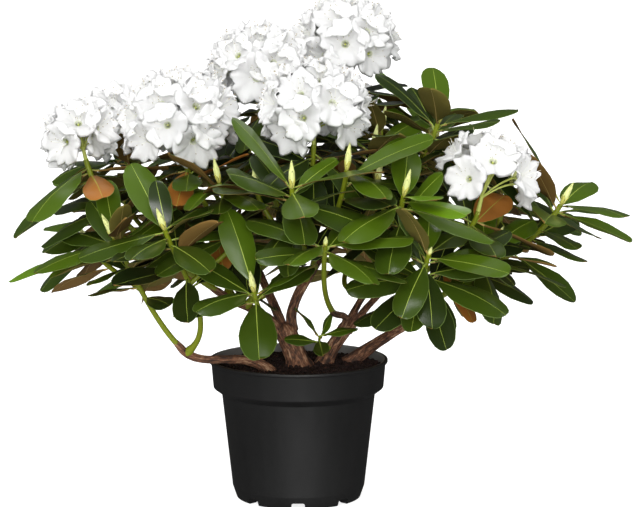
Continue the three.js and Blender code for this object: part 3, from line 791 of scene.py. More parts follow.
def touches_blades(blade, canopy, ease):
    """Leaves of one mass may come together at their stalks, and nowhere else."""
    near = canopy.near(blade)
    own_frame = np.array((blade.base, blade.along, blade.upper, blade.side))[None, None]
    own_shape = np.array((blade.length, blade.bend, blade.arc))[None, None]
    for kin in (False, True):
        some = near[(canopy.masses[near] == blade.mass) == kin]
        if not len(some):
            continue
        gap = (KIN_GAP if kin else LEAF_GAP) * ease
        root = KIN_ROOT if kin else 0.0
        skip = 1 if kin else 0
        frames, shapes = canopy.frames[some][:, None], canopy.shapes[some][:, None]
        if blades_meet(frames, shapes, blade.outline[None, :, skip:], gap, root).any():
            return True
        if blades_meet(own_frame, own_shape, canopy.outlines[some][:, :, skip:], gap, root).any():
            return True
    return False


def fits(blade, room, canopy, ease):
    """True if a leaf stays in the crown and touches no limb, truss or other leaf."""
    places = blade.outline.reshape(-1, 3)
    low = (*CROWN_LOW, MASSES[blade.mass].lowest)
    if (places < low).any() or (places > CROWN_HIGH).any():
        return False
    if any(inside_dome(dome, places, LEAF_GAP * ease).any() for dome in room["domes"]):
        return False
    others = room["owners"] != blade.mass
    own_frame = np.array((blade.base, blade.along, blade.upper, blade.side))[None]
    own_shape = np.array((blade.length, blade.bend, blade.arc))[None]
    gap = (room["radii"][others] + LIMB_GAP * ease)[:, None]
    if blades_meet(own_frame, own_shape, room["lines"][others], gap, 0.0).any():
        return False
    return not touches_blades(blade, canopy, ease)


def fitting_blade(shoot, at, polar, angle, size, bend, roll, room, canopy, ease=1.0):
    """The first of a few turns and lengths of a leaf that fits."""
    base = shoot.curve.on_steps(STEM_STEPS if shoot.leader else SHOOT_STEPS, at)
    axis = shoot.curve.heading(at)
    plane = plane_of(axis)
    sky = unit(axis + UP)
    for share in SHORTER:
        for tilt, swing in TURNS:
            fall = polar + math.radians(tilt)
            outward = in_plane(plane, angle + math.radians(swing))
            along = axis * math.cos(fall) + outward * math.sin(fall)
            upper = turned_about(square_to(along, sky), along, roll)
            blade = Blade(shoot.mass, base, along, upper, size * share, bend)
            if fits(blade, room, canopy, ease):
                return blade
    return None


class Leaf(NamedTuple):
    """A grown leaf, with where its stalk meets the smooth shoot, its age and its spray."""

    blade: Blade
    root: np.ndarray
    age: float
    spray: int


def grow_leaves(shoots, draw, room, canopy, leaves):
    """The whorl at each shoot's tip, a second whorl where there are two tiers, and a few older leaves."""
    for spray, shoot in shoots:
        mass = MASSES[shoot.mass]
        length = shoot.curve.length()
        phase = draw() * FULL_TURN
        crowned = shoot.leader and mass.truss
        tiers = mass.tiers if shoot.leader else 1
        older = mass.older if shoot.leader else 0
        for i in range(tiers * shoot.leaves + older):
            tier = i // shoot.leaves
            place = (i % shoot.leaves) / shoot.leaves
            depth = WHORL_DEPTH if tier < tiers else OLDER_DEPTH
            back = tier * TIER_STEP + place * depth + (TRUSS_NECK if crowned else 0)
            at = max(LOWEST_PLACE, 1 - back / length)
            fall = CROWNED_FALL if crowned else LEAF_FALL
            polar = math.radians(fall + WHORL_FALL * place + stray(draw, FALL_STRAY))
            angle = phase + i * GOLDEN_ANGLE + stray(draw, SWING_STRAY)
            size = LEAF_LENGTH * mass.size * drawn(draw, LEAF_SHARE)
            bend = drawn(draw, LEAF_BEND)
            roll = stray(draw, ROLL_STRAY)
            blade = fitting_blade(shoot, at, polar, angle, size, bend, roll, room, canopy)
            if blade is None:
                continue
            canopy.add(blade)
            age = 1.0 if tier >= tiers else WHORL_AGE * place + TIER_AGE * tier
            leaves.append(Leaf(blade, shoot.curve.at(at), age, spray))


def grow_finer(sprays, room, canopy, leaves, finer):
    """More leaves on every shoot of a mass that has older leaves, in what room is left, as dense as the real
    bush.
    """
    for spray, shoot in sprays:
        if not MASSES[shoot.mass].older:
            continue
        draw = seeded_numbers(SEED + FINER_SEED + FINER_SEED_STEP * spray)
        length = shoot.curve.length()
        phase = draw() * FULL_TURN
        for i in range(finer):
            place = i / finer
            at = max(FINER_LOWEST_PLACE, 1 - (FINER_FROM + FINER_DEPTH * place) / length)
            polar = math.radians(FINER_FALL + FINER_WHORL_FALL * place + stray(draw, FINER_FALL_STRAY))
            angle = phase + i * GOLDEN_ANGLE
            size = LEAF_LENGTH * drawn(draw, FINER_SHARE)
            bend = drawn(draw, FINER_BEND)
            roll = stray(draw, FINER_ROLL_STRAY)
            blade = fitting_blade(shoot, at, polar, angle, size, bend, roll, room, canopy, FINER_EASE)
            if blade is not None:
                canopy.add(blade)
                age = FINER_AGE + FINER_WHORL_AGE * place
                leaves.append(Leaf(blade, shoot.curve.at(at), age, spray))


def grow(finer):
    """The whole crown: limb curves, shoots, truss domes and leaves."""
    limbs = limb_curves()
    by_name = {limb.name: limb for limb in LIMBS}
    stems = [stem_curve(mass, by_name[mass.limb], limbs[mass.limb]) for mass in MASSES]
    domes = [truss_dome(i, stems[i]) for i, mass in enumerate(MASSES) if mass.truss]
    rods = [rod_of(-1, limbs[limb.name], limb.radii[0], LIMB_STEPS) for limb in LIMBS]
    rods += [rod_of(i, stems[i], BUD_RADIUS, STEM_STEPS, bud_of(mass)) for i, mass in enumerate(MASSES)]
    draws = [seeded_numbers(SEED + SEED_STEP * i) for i in range(len(MASSES))]
    grown = [grow_shoots(i, stems[i], draws[i], rods, domes) for i in range(len(MASSES))]
    room = {
        "domes": domes,
        "owners": np.array([rod.owner for rod in rods]),
        "radii": np.array([rod.radius for rod in rods]),
        "lines": np.array([rod.line for rod in rods]),
    }
    sprays = list(enumerate(shoot for shoots in grown for shoot in shoots))
    canopy = Canopy(CANOPY_ROOM)
    leaves = []
    for i in range(len(MASSES)):
        grow_leaves([pair for pair in sprays if pair[1].mass == i], draws[i], room, canopy, leaves)
    grow_finer(sprays, room, canopy, leaves, finer)
    return {"limbs": limbs, "sprays": sprays, "domes": domes, "leaves": leaves}


# Node graphs


class Wire:
    """A node's output that takes part in Python arithmetic. Each operation adds its own Math node."""

    def __init__(self, graph, socket):
        self.graph = graph
        self.socket = socket

    def _math(self, operation, first, second):
        return self.graph.node("ShaderNodeMath", {"operation": operation}, {0: first, 1: second})

    def __add__(self, other):
        return self._math("ADD", self, other)

    def __radd__(self, other):
        return self._math("ADD", other, self)

    def __sub__(self, other):
        return self._math("SUBTRACT", self, other)

    def __rsub__(self, other):
        return self._math("SUBTRACT", other, self)

    def __mul__(self, other):
        return self._math("MULTIPLY", self, other)

    def __rmul__(self, other):
        return self._math("MULTIPLY", other, self)

    def __pow__(self, other):
        return self._math("POWER", self, other)


class Graph:
    """A node tree that is written as expressions."""

    def __init__(self, tree):
        self.tree = tree

    def node(self, kind, settings=None, sockets=None, output=0):
        """Adds a node: its settings first, then the values or links of its sockets. Gives one output."""
        made = self.tree.nodes.new(kind)
        for key, value in (settings or {}).items():
            if key == "stops":
                set_stops(made.color_ramp, value)
            else:
                setattr(made, key, value)
        self.fill(made, sockets or {})
        return Wire(self, made.outputs[output])

    def fill(self, node, sockets):
        """Sets or links a node's sockets."""
        for key, value in sockets.items():
            if isinstance(value, Wire):
                self.tree.links.new(value.socket, node.inputs[key])
            else:
                node.inputs[key].default_value = value

    def other(self, wire, output):
        """Another output of the node that a wire comes from."""
        return Wire(self, wire.socket.node.outputs[output])


def set_stops(ramp, stops):
    while len(ramp.elements) < len(stops):
        ramp.elements.new(1.0)
    for element, (place, colour) in zip(ramp.elements, stops):
        element.position = place
        element.color = colour


class Finish(Graph):
    """A material whose surface is one Principled shader."""

    def __init__(self, name):
        self.material = bpy.data.materials.new(name)
        self.material.use_nodes = True
        super().__init__(self.material.node_tree)
        self.shader = next(node for node in self.tree.nodes if node.type == "BSDF_PRINCIPLED")

    def surface(self, sockets):
        """Sets or links the shader's sockets, and gives the material."""
        self.fill(self.shader, sockets)
        return self.material

    def place(self, scale=(1, 1, 1)):
        """Object coordinates, scaled."""
        here = self.node("ShaderNodeTexCoord", output="Object")
        return self.node("ShaderNodeMapping", None, {"Vector": here, "Scale": scale})

    def attribute(self, name):
        """A vector that the mesh keeps at its points."""
        return self.node("ShaderNodeAttribute", {"attribute_name": name}, output="Vector")

    def grain(self, place, scale, detail=4.0, roughness=0.55):
        """A cloudy pattern from 0 to 1."""
        sockets = {"Vector": place, "Scale": scale, "Detail": detail, "Roughness": roughness}
        return self.node("ShaderNodeTexNoise", None, sockets)

    def between(self, share, stops):
        """A colour for each share from 0 to 1."""
        return self.node("ShaderNodeValToRGB", {"stops": stops}, {"Fac": share})

    def bump(self, height, strength, distance):
        """A normal for small relief, with its depth in metres."""
        sockets = {"Height": height, "Strength": strength, "Distance": distance}
        return self.node("ShaderNodeBump", None, sockets)


class Recipe(Graph):
    """A Geometry Nodes tree with named inputs."""

    def __init__(self, name):
        super().__init__(bpy.data.node_groups.new(name, "GeometryNodeTree"))
        sides = self.tree.interface
        sides.new_socket("Geometry", in_out="INPUT", socket_type="NodeSocketGeometry")
        sides.new_socket("Geometry", in_out="OUTPUT", socket_type="NodeSocketGeometry")
        self.identifiers = {}
        self.entry = self.tree.nodes.new("NodeGroupInput")
        self.exit = self.tree.nodes.new("NodeGroupOutput")

    def input(self, name, kind):
        """A named input. Kind is Geometry for what the modifier stands on, or a socket's own name."""
        if name != "Geometry":
            made = self.tree.interface.new_socket(name, in_out="INPUT", socket_type=f"NodeSocket{kind}")
            self.identifiers[name] = made.identifier
        return Wire(self, self.entry.outputs[name])

    def give(self, geometry, finishes):
        """Ends the tree: instances made real, and the finishes set. Faces choose by their own number."""
        done = self.node("GeometryNodeRealizeInstances", None, {"Geometry": geometry})
        for number, finish in enumerate(finishes):
            sockets = {"Geometry": done, "Material": finish}
            if number:
                here = named(self, "finish_number", "INT")
                settings = {"data_type": "INT", "operation": "EQUAL"}
                sockets["Selection"] = self.node("FunctionNodeCompare", settings, {2: here, 3: number})
            done = self.node("GeometryNodeSetMaterial", None, sockets)
        self.fill(self.exit, {0: done})


def named(graph, name, kind="FLOAT"):
    return graph.node("GeometryNodeInputNamedAttribute", {"data_type": kind}, {"Name": name})


def stored(graph, geometry, name, value, kind="FLOAT"):
    """Keeps a value at every point under a name."""
    settings = {"data_type": kind, "domain": "POINT"}
    sockets = {"Geometry": geometry, "Name": name, "Value": value}
    return graph.node("GeometryNodeStoreNamedAttribute", settings, sockets)


def shape_input(recipe, name):
    """The shape of an object that is a named input."""
    sockets = {"Object": recipe.input(name, "Object")}
    return recipe.node("GeometryNodeObjectInfo", {"transform_space": "ORIGINAL"}, sockets, "Geometry")


# Meshes


def link(name, data):
    item = bpy.data.objects.new(name, data)
    bpy.context.scene.collection.objects.link(item)
    return item


def mesh_of(shape, name):
    """A mesh of an edited shape, which is freed."""
    mesh = bpy.data.meshes.new(name)
    shape.to_mesh(mesh)
    shape.free()
    return mesh


def keep_values(mesh, name, kind, values, domain="POINT", key="value"):
    """Keeps values at a mesh's points or faces under a name."""
    mesh.attributes.new(name, kind, domain).data.foreach_set(key, values.ravel())


def solid_mesh(name, places, faces, kinds=None, finishes=()):
    """A smooth mesh from arrays: places in millimetres, faces of equal corners, a finish for each face."""
    mesh = bpy.data.meshes.new(name)
    mesh.vertices.add(len(places))
    mesh.vertices.foreach_set("co", (np.asarray(places) * MM).astype(np.float32).ravel())
    mesh.loops.add(faces.size)
    mesh.loops.foreach_set("vertex_index", faces.astype(np.int32).ravel())
    mesh.polygons.add(len(faces))
    mesh.polygons.foreach_set("loop_start", np.arange(0, faces.size, faces.shape[1], dtype=np.int32))
    for finish in finishes:
        mesh.materials.append(finish)
    if kinds is not None:
        mesh.polygons.foreach_set("material_index", np.asarray(kinds, np.int32).ravel())
    mesh.polygons.foreach_set("use_smooth", np.ones(len(faces), bool))
    mesh.update(calc_edges=True)
    return mesh


def quads_of(grid):
    """The faces of a grid of vertex numbers."""
    corners = grid[:-1, :-1], grid[1:, :-1], grid[1:, 1:], grid[:-1, 1:]
    return np.stack(corners, axis=-1).reshape(-1, 4)


class SheetPlan:
    """How a thin closed sheet is numbered: an upper and a lower grid that share their edges."""

    def __init__(self, rows, columns, ring=False):
        span = columns - 1 if ring else columns
        upper = np.arange(rows * span).reshape(rows, span)
        lower = upper.copy()
        inside = (slice(1, -1), slice(None)) if ring else (slice(1, -1), slice(1, -1))
        self.inside = inside
        lower[inside] = rows * span + np.arange(lower[inside].size).reshape(lower[inside].shape)
        if ring:
            upper, lower = (np.concatenate((grid, grid[:, :1]), axis=1) for grid in (upper, lower))
        self.span = span
        self.size = rows * span + lower[:, :span][inside].size
        faces = np.stack((quads_of(upper), quads_of(lower)[:, (0, 3, 2, 1)]))
        if not ring:
            # These corner faces start one corner on, so that they split towards the middle of the sheet
            turned = (columns - 2, (rows - 2) * (columns - 1))
            faces[:, turned] = np.roll(faces[:, turned], 1, axis=-1)
        self.faces = faces.reshape(-1, 4)
        self.shape = (rows - 1, columns - 1)

    def places(self, upper, lower):
        """Upper and lower grids of places (sheets, rows, columns, 3) as one list for each sheet."""
        count = len(upper)
        top = upper[:, :, : self.span].reshape(count, -1, 3)
        under = lower[:, :, : self.span][(slice(None), *self.inside)].reshape(count, -1, 3)
        return np.concatenate((top, under), axis=1)

    def many(self, count):
        """The faces of many sheets, one after another."""
        return (self.faces[None] + (np.arange(count) * self.size)[:, None, None]).reshape(-1, 4)


def joined(parts):
    """Several lists of places and faces, with their kinds, as one."""
    places, faces, kinds, start = [], [], [], 0
    for some, corners, kind in parts:
        places.append(some)
        faces.append(corners + start)
        kinds.append(np.broadcast_to(kind, len(corners)))
        start += len(some)
    return np.concatenate(places), np.concatenate(faces), np.concatenate(kinds)


def path_carrier(name, paths):
    """Paths as chains of edges. Each point carries a radius in metres and its path's own number."""
    places = np.concatenate([path for path, _ in paths])
    radii = np.concatenate([np.broadcast_to(radius, len(path)) for path, radius in paths])
    numbers = np.concatenate([np.full(len(path), i, float) for i, (path, _) in enumerate(paths)])
    edges, start = [], 0
    for path, _ in paths:
        edges += [(start + i, start + i + 1) for i in range(len(path) - 1)]
        start += len(path)
    mesh = bpy.data.meshes.new(name)
    mesh.from_pydata(places * MM, edges, [])
    for key, values in (("radius_here", radii * MM), ("path_number", numbers)):
        keep_values(mesh, key, "FLOAT", values.astype(np.float32))
    return link(name, mesh)


def tube_recipe():
    """Round tubes along paths, with a relief that runs with the grain."""
    recipe = Recipe("tubes_along_paths")
    paths = recipe.input("Geometry", "Geometry")
    sides = recipe.input("Sides", "Int")
    relief = recipe.input("Relief", "Float")
    grain = recipe.input("Grain", "Float")
    finish = recipe.input("Finish", "Material")
    curve = recipe.node("GeometryNodeMeshToCurve", None, {"Mesh": paths})
    run = recipe.node("GeometryNodeSplineParameter", output="Length")
    kept = stored(recipe, curve, "run", run)
    ring = recipe.node("GeometryNodeCurvePrimitiveCircle", None, {"Resolution": sides, "Radius": 1.0})
    turn = recipe.node("GeometryNodeSplineParameter", output="Factor")
    marked = stored(recipe, ring, "turn", turn)
    skin = recipe.node("GeometryNodeCurveToMesh", None, {
        "Curve": kept, "Profile Curve": marked, "Scale": named(recipe, "radius_here"), "Fill Caps": True,
    })
    angle = named(recipe, "turn") * FULL_TURN
    across = recipe.node("ShaderNodeMath", {"operation": "COSINE"}, {0: angle})
    deep = recipe.node("ShaderNodeMath", {"operation": "SINE"}, {0: angle})
    run_on = named(recipe, "run") * GRAIN_RUN + named(recipe, "path_number") * GRAIN_APART
    where = recipe.node("ShaderNodeCombineXYZ", None, {"X": across, "Y": deep, "Z": run_on})
    placed = stored(recipe, skin, "grain_place", where, "FLOAT_VECTOR")
    rough = recipe.node("ShaderNodeTexNoise", None, {
        "Vector": where, "Scale": grain, "Detail": GRAIN_DETAIL, "Roughness": GRAIN_ROUGHNESS,
    })
    knobs = recipe.node("ShaderNodeTexNoise", None, {
        "Vector": where, "Scale": grain * KNOB_SCALE, "Detail": KNOB_DETAIL,
    })
    lift = ((rough - NOISE_MIDDLE) * GRAIN_LIFT + (knobs - NOISE_MIDDLE) * KNOB_LIFT) * relief
    normal = recipe.node("GeometryNodeInputNormal")
    offset = recipe.node("ShaderNodeVectorMath", {"operation": "SCALE"}, {0: normal, "Scale": lift})
    moved = recipe.node("GeometryNodeSetPosition", None, {"Geometry": placed, "Offset": offset})
    smooth = recipe.node("GeometryNodeSetShadeSmooth", None, {"Geometry": moved})
    recipe.give(smooth, [finish])
    return recipe


def tubes(name, paths, sides, relief, grain, finish):
    """Paths in millimetres as round tubes in one mesh."""
    return finished(path_carrier(f"{name}_paths", paths), tube_recipe(), {
        "Sides": sides, "Relief": relief, "Grain": grain, "Finish": finish,
    }, name)


def spread_recipe(name, count):
    """One shape set on every point, turned and sized by the point's own values."""
    recipe = Recipe(name)
    points = recipe.input("Geometry", "Geometry")
    shape = shape_input(recipe, "Shape")
    finishes = [recipe.input(f"Finish {i}", "Material") for i in range(count)]
    placed = recipe.node("GeometryNodeInstanceOnPoints", None, {
        "Points": points, "Instance": shape, "Rotation": named(recipe, "stance", "QUATERNION"),
        "Scale": named(recipe, "size", "FLOAT_VECTOR"),
    })
    recipe.give(placed, finishes)
    return recipe


def crumb_recipe():
    """Crumbs strewn over a surface, each turned and sized by chance from a fixed seed."""
    recipe = Recipe("strewn_crumbs")
    ground = recipe.input("Geometry", "Geometry")
    shape = shape_input(recipe, "Crumb")
    density = recipe.input("Density", "Float")
    seed = recipe.input("Seed", "Int")
    finish = recipe.input("Finish", "Material")
    strewn = recipe.node("GeometryNodeDistributePointsOnFaces", None, {
        "Mesh": ground, "Density": density, "Seed": seed,
    })
    turn = recipe.node("FunctionNodeRandomValue", {"data_type": "FLOAT_VECTOR"}, {
        "Min": (0, 0, 0), "Max": CRUMB_TURN, "Seed": seed,
    })
    size = recipe.node("FunctionNodeRandomValue", {"data_type": "FLOAT"}, {2: 0.0, 3: 1.0, "Seed": seed}, 1)
    placed = recipe.node("GeometryNodeInstanceOnPoints", None, {
        "Points": strewn, "Instance": shape, "Rotation": turn,
        "Scale": CRUMB_LEAST + CRUMB_RANGE * size**CRUMB_RARITY,
    })
    recipe.give(placed, [finish])
    return recipe


def evaluated_mesh(piece):
    """A plain mesh of a piece as its modifiers leave it."""
    bpy.context.view_layer.update()
    graph = bpy.context.evaluated_depsgraph_get()
    return bpy.data.meshes.new_from_object(piece.evaluated_get(graph), depsgraph=graph)


def finished(carrier, recipe, inputs, name):
    """Runs a recipe on a carrier and gives its result as a plain mesh of its own."""
    modifier = carrier.modifiers.new("make", "NODES")
    modifier.node_group = recipe.tree
    for key, value in inputs.items():
        modifier[recipe.identifiers[key]] = value
    carrier.update_tag()
    mesh = evaluated_mesh(carrier)
    if not len(mesh.polygons):
        raise RuntimeError(f"{name} came out empty")
    bpy.data.objects.remove(carrier)
    mesh.name = name
    drop_empty_slots(mesh)
    return mesh


def finish_numbers(mesh):
    numbers = np.zeros(len(mesh.polygons), np.int32)
    mesh.polygons.foreach_get("material_index", numbers)
    return numbers


def drop_empty_slots(mesh):
    """Keeps only the slots that hold a finish."""
    slots = list(mesh.materials)
    kept = [finish for finish in slots if finish]
    places = np.array([kept.index(finish) if finish else 0 for finish in slots], np.int32)
    numbers = places[finish_numbers(mesh)]
    mesh.materials.clear()
    for finish in kept:
        mesh.materials.append(finish)
    mesh.polygons.foreach_set("material_index", numbers)


def settle(piece, slot, *nodes):
    """Rides a piece on the plant and hides the solids that it stands for. The finish's name that it is given
    is not used.
    """
    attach(piece, BODY)
    if nodes:
        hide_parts(*nodes)


# Finishes


def tone(red, green, blue):
    """A colour as seen on a screen, 0 to 255, in linear light."""
    linear = (((c / 255 + 0.055) / 1.055) ** 2.4 if c > 10 else c / 255 / 12.92 for c in (red, green, blue))
    return tuple(linear)


def opaque(colour):
    return (*colour, 1.0)


def pot_finish(look):
    finish = Finish("nursery_pot_plastic")
    cloud = finish.grain(finish.place(), scale=9.0, detail=5.0)
    streak = finish.grain(finish.place((1, 1, 0.12)), scale=55.0, detail=3.0)
    pebble = finish.grain(finish.place(), scale=1300.0, detail=2.0)
    # The inner wall's faces are tinted pale grey: partly dust, partly painted light that the inside of the
    # wall catches
    here = finish.node("ShaderNodeTexCoord", output="Object")
    outward = finish.node("ShaderNodeVectorMath", {"operation": "MULTIPLY"}, {0: here, 1: (1, 1, 0)})
    facing = finish.node("ShaderNodeVectorMath", {"operation": "DOT_PRODUCT"}, {
        0: outward, 1: finish.other(here, "Normal"),
    }, "Value")
    inside = finish.node("ShaderNodeMath", {"operation": "LESS_THAN"}, {0: facing, 1: -0.01})
    base = finish.between(cloud * 0.6 + streak * 0.4 + inside * 0.6, (
        (0.3, opaque(look.plastic)), (0.72, opaque(look.plastic_worn)), (0.95, opaque(look.dust_and_painted_light)),
    ))
    return finish.surface({
        "Base Color": base,
        "Roughness": look.roughness + 0.16 * (cloud - NOISE_MIDDLE) + 0.1 * (streak - NOISE_MIDDLE),
        "Normal": finish.bump(pebble, strength=0.18, distance=0.0006),
        "Specular IOR Level": look.sheen,
    })


def mix_finish(look):
    finish = Finish("damp_potting_mix")
    clump = finish.grain(finish.place(), scale=70.0, detail=6.0, roughness=0.7)
    speck = finish.grain(finish.place(), scale=420.0, detail=3.0)
    base = finish.between(clump * 0.55 + speck * 0.45, (
        (0.32, opaque(look.dark)), (0.55, opaque(look.brown)), (0.72, opaque(look.pale)),
    ))
    return finish.surface({
        "Base Color": base,
        "Roughness": 0.95 - 0.2 * speck,
        "Normal": finish.bump(speck + clump, strength=0.9, distance=0.002),
    })


def bark_finish(look):
    finish = Finish("brown_bark")
    along = finish.attribute("grain_place")
    plates = finish.grain(along, scale=2.0, detail=5.0, roughness=0.65)
    fibre = finish.grain(along, scale=6.5)
    patch = finish.grain(finish.place(), scale=40.0, detail=3.0)
    base = finish.between(plates * 0.45 + fibre * 0.35 + patch * 0.2, (
        (0.41, opaque(look.fissure)), (0.48, opaque(look.bark)), (0.53, opaque(look.bark_red)),
        (0.6, opaque(look.bark_pale)),
    ))
    return finish.surface({
        "Base Color": base,
        "Roughness": 0.62 + 0.3 * fibre,
        "Normal": finish.bump(fibre + plates, strength=0.8, distance=0.0018),
    })


def plain_finish(name, colour, roughness, extra=None):
    """A finish of one colour, for what is dealt out leaf by leaf or petal by petal."""
    finish = Finish(name)
    return finish.surface({"Base Color": opaque(colour), "Roughness": roughness, **(extra or {})})


# Settings


def colour(name, description, default):
    return FloatVectorProperty(
        name=name, description=description, default=default, subtype="COLOR", min=0.0, max=1.0, size=3,
    )


def length(name, description, millimetres):
    return FloatProperty(name=name, description=description, default=millimetres * MM, unit="LENGTH")


def degrees(name, description, default):
    return FloatProperty(name=name, description=description, default=math.radians(default), subtype="ANGLE")


def amount(name, description, default):
    return FloatProperty(name=name, description=description, default=default)


def whole_number(name, description, default):
    return IntProperty(name=name, description=description, default=default)


class PotSettings(bpy.types.PropertyGroup):
    """The nursery pot"""

    segments: whole_number("Segments", "Faces round the pot", 128)
    edge: length("Edge", "Rounding of the pot's edges", 1.1)
    plastic: colour("Plastic", "Black plastic", tone(18, 18, 18))
    plastic_worn: colour("Worn plastic", "Plastic where it is rubbed", tone(25, 25, 25))
    # A pale grey for the inside of the wall: partly dust, partly painted light that the wall catches
    dust_and_painted_light: colour("Dusty plastic", "The inside of the wall", tone(120, 119, 116))
    roughness: amount("Roughness", "How matt the plastic is", 0.52)
    sheen: amount("Sheen", "Strength of the plastic's reflection", 0.72)


class MixSettings(bpy.types.PropertyGroup):
    """The potting mix"""

    relief: length("Relief", "How uneven the surface is", 3.0)
    crumb: length("Crumb", "Radius of a middling crumb", 2.7)
    density: amount("Density", "Crumbs to the square metre", 76000.0)
    dark: colour("Dark", "Wet peat", tone(15, 8, 6))
    brown: colour("Brown", "Damp peat", tone(38, 20, 15))
    pale: colour("Pale", "Dry fibre", tone(96, 58, 44))


class LimbSettings(bpy.types.PropertyGroup):
    """The woody stems and boughs"""

    sides: whole_number("Sides", "Faces round a limb", 22)
    relief: length("Relief", "Depth of the bark's relief", 1.9)
    grain: amount("Grain", "How fine the relief is", 1.9)
    fissure: colour("Fissure", "Cracks in the bark", tone(42, 29, 22))
    bark: colour("Bark", "Brown bark", tone(90, 61, 43))
    bark_red: colour("Red bark", "Younger reddish bark", tone(128, 83, 57))
    bark_pale: colour("Pale bark", "Weathered, peeling bark", tone(180, 145, 112))


class FoliageSettings(bpy.types.PropertyGroup):
    """The green shoots, leaves and buds"""

    finer: whole_number("Finer leaves", "Leaves tried on each shoot beyond the solids'", 6)
    stem_radius: length("Stem radius", "Radius of a green stem", 3.5)
    rib: length("Midrib", "Half width of a leaf's midrib", 0.5)
    # The pale edge is a painted highlight along the leaf's margin
    margin: length("Margin", "Width of the pale edge of a leaf", 0.6)
    stalk: length("Stalk", "Half width of a leaf's stalk", 1.5)
    thickness: length("Thickness", "Thickness of a leaf", 0.7)
    gloss: amount("Roughness", "Roughness of a leaf's upper side", 0.3)
    shine: amount("Shine", "Strength of a leaf's reflection", 0.45)
    deep: colour("Deep green", "Old shaded leaves", tone(26, 37, 13))
    dark: colour("Dark green", "Old leaves", tone(35, 49, 13))
    green: colour("Green", "Last year's leaves", tone(51, 70, 13))
    fresh: colour("Fresh green", "Leaves in good light", tone(68, 92, 13))
    bright: colour("Bright green", "The youngest leaves", tone(94, 131, 14))
    # The margin's pale tint is a painted highlight along each leaf's edge
    edge: colour("Margin", "Pale edge of a leaf", tone(100, 124, 52))
    rib_upper: colour("Upper rib", "Midrib and stalk from above", tone(165, 185, 75))
    rib_lower: colour("Lower rib", "Midrib from below", tone(186, 158, 92))
    felt: colour("Felt", "Brown felt of a leaf's underside", tone(124, 96, 48))
    felt_olive: colour("Olive felt", "Thinner felt", tone(108, 99, 44))
    felt_orange: colour("Orange felt", "Felt of a young leaf", tone(160, 102, 42))
    bud_girth: amount("Bud girth", "A bud's girth to the solids'", 0.68)
    shoot: colour("Shoot", "Green shoots", tone(122, 134, 20))
    bud: colour("Bud", "Pale bud scales", tone(236, 242, 160))
    bud_foot: colour("Bud foot", "Lowest bud scales", tone(210, 205, 102))


class TrussSettings(bpy.types.PropertyGroup):
    """The flower trusses"""

    cover: amount("Cover", "How often florets cover a truss's dome", 1.8)
    inner: amount("Inner florets", "Florets that stand deeper, for each outer one", 0.45)
    inner_reach: amount("Inner reach", "How far out the deeper florets stand", 0.74)
    florets_loose: whole_number("Florets of the loose truss", "Florets in the looser truss", 9)
    floret: length("Floret", "Radius of a floret", 31)
    split: length("Split", "Place across the plant that parts the left trusses from the right ones", -80)
    lowest: degrees("Lowest", "How far round the dome florets go", 118)
    lowest_loose: degrees("Lowest of the loose truss", "How far round the looser dome florets go", 98)
    softness: amount("Softness", "Light that passes through a petal", 0.5)
    petal: colour("Petal", "White petals", (0.96, 0.96, 0.955))
    throat: colour("Throat", "Pale throat", tone(234, 240, 208))
    filament: colour("Filament", "Stamens", tone(246, 246, 236))
    anther: colour("Anther", "Tips of the stamens", tone(172, 158, 126))
    speck: colour("Speck", "Marks in the throat", tone(150, 146, 70))
    stalk: colour("Stalk", "Flower stalks", tone(190, 200, 100))


class StageSettings(bpy.types.PropertyGroup):
    """The studio"""

    elevation: degrees("Elevation", "Camera's height angle", 8)
    distance: length("Distance", "Camera to the plant's middle", 3200)
    aim_across: length("Aim across", "Point the camera looks at, to the right of the pot", 27.7)
    aim_up: length("Aim up", "Height of the point the camera looks at", 316)
    field: length("Field", "Width seen at the plant's middle", 819.2)
    floor: colour("Floor", "Pale floor", (0.6, 0.6, 0.6))
    floor_glow: amount("Floor glow", "Light that the floor gives off to the camera alone", 0.8)
    sky: amount("Sky", "Strength of the even light", 0.6)
    mirrored: amount("Mirrored room", "Strength of what gloss mirrors", 0.07)
    glint: amount("Glint", "Strength of each small light", 0.52)
    key: amount("Key", "Strength of the main light", 1.2)
    low: amount("Low", "Strength of the low light in front", 1.6)
    fill: amount("Fill", "Strength of the side light", 0.25)
    back: amount("Back", "Strength of the light from behind", 0.8)


SETTINGS = {
    "plant_pot": PotSettings,
    "plant_mix": MixSettings,
    "plant_limbs": LimbSettings,
    "plant_foliage": FoliageSettings,
    "plant_trusses": TrussSettings,
    "plant_stage": StageSettings,
}
CROWN = {}


def crown(context):
    """The grown crown, worked out once."""
    if not CROWN:
        CROWN.update(grow(context.scene.plant_foliage.finer))
    return CROWN


# Pot


def pot_profile():
    """The wall in section, from the middle of the underside, round the rim, to the middle of the floor."""
    collar_top = RIM_RADIUS - LIP_OVERHANG
    collar_foot = collar_top - COLLAR_TAPER
    body_top = collar_foot - COLLAR_STEP
    collar_level = POT_HEIGHT - COLLAR_HEIGHT
    body_level = collar_level - STEP_HEIGHT
    foot_inside = BASE_RADIUS - FOOT_WIDTH
    lip_level = POT_HEIGHT - LIP_HEIGHT
    inner = collar_top - POT_WALL
    return np.array((
        (PAD_RADIUS, 0), (PAD_RADIUS + CHANNEL_DEPTH, CHANNEL_DEPTH),
        (foot_inside - CHANNEL_DEPTH, CHANNEL_DEPTH), (foot_inside, 0),
        (BASE_RADIUS, 0), (BASE_RADIUS + BEVEL_WIDTH, BEVEL_HEIGHT), (body_top, body_level),
        (collar_foot, collar_level), (collar_top, lip_level), (RIM_RADIUS, lip_level),
        (RIM_RADIUS, POT_HEIGHT), (inner, POT_HEIGHT),
        (inner - COLLAR_TAPER, collar_level), (inner - COLLAR_TAPER - COLLAR_STEP, body_level),
        (BASE_RADIUS + BEVEL_WIDTH - POT_WALL, BEVEL_HEIGHT), (BASE_RADIUS - POT_WALL, FLOOR_TOP),
    ))


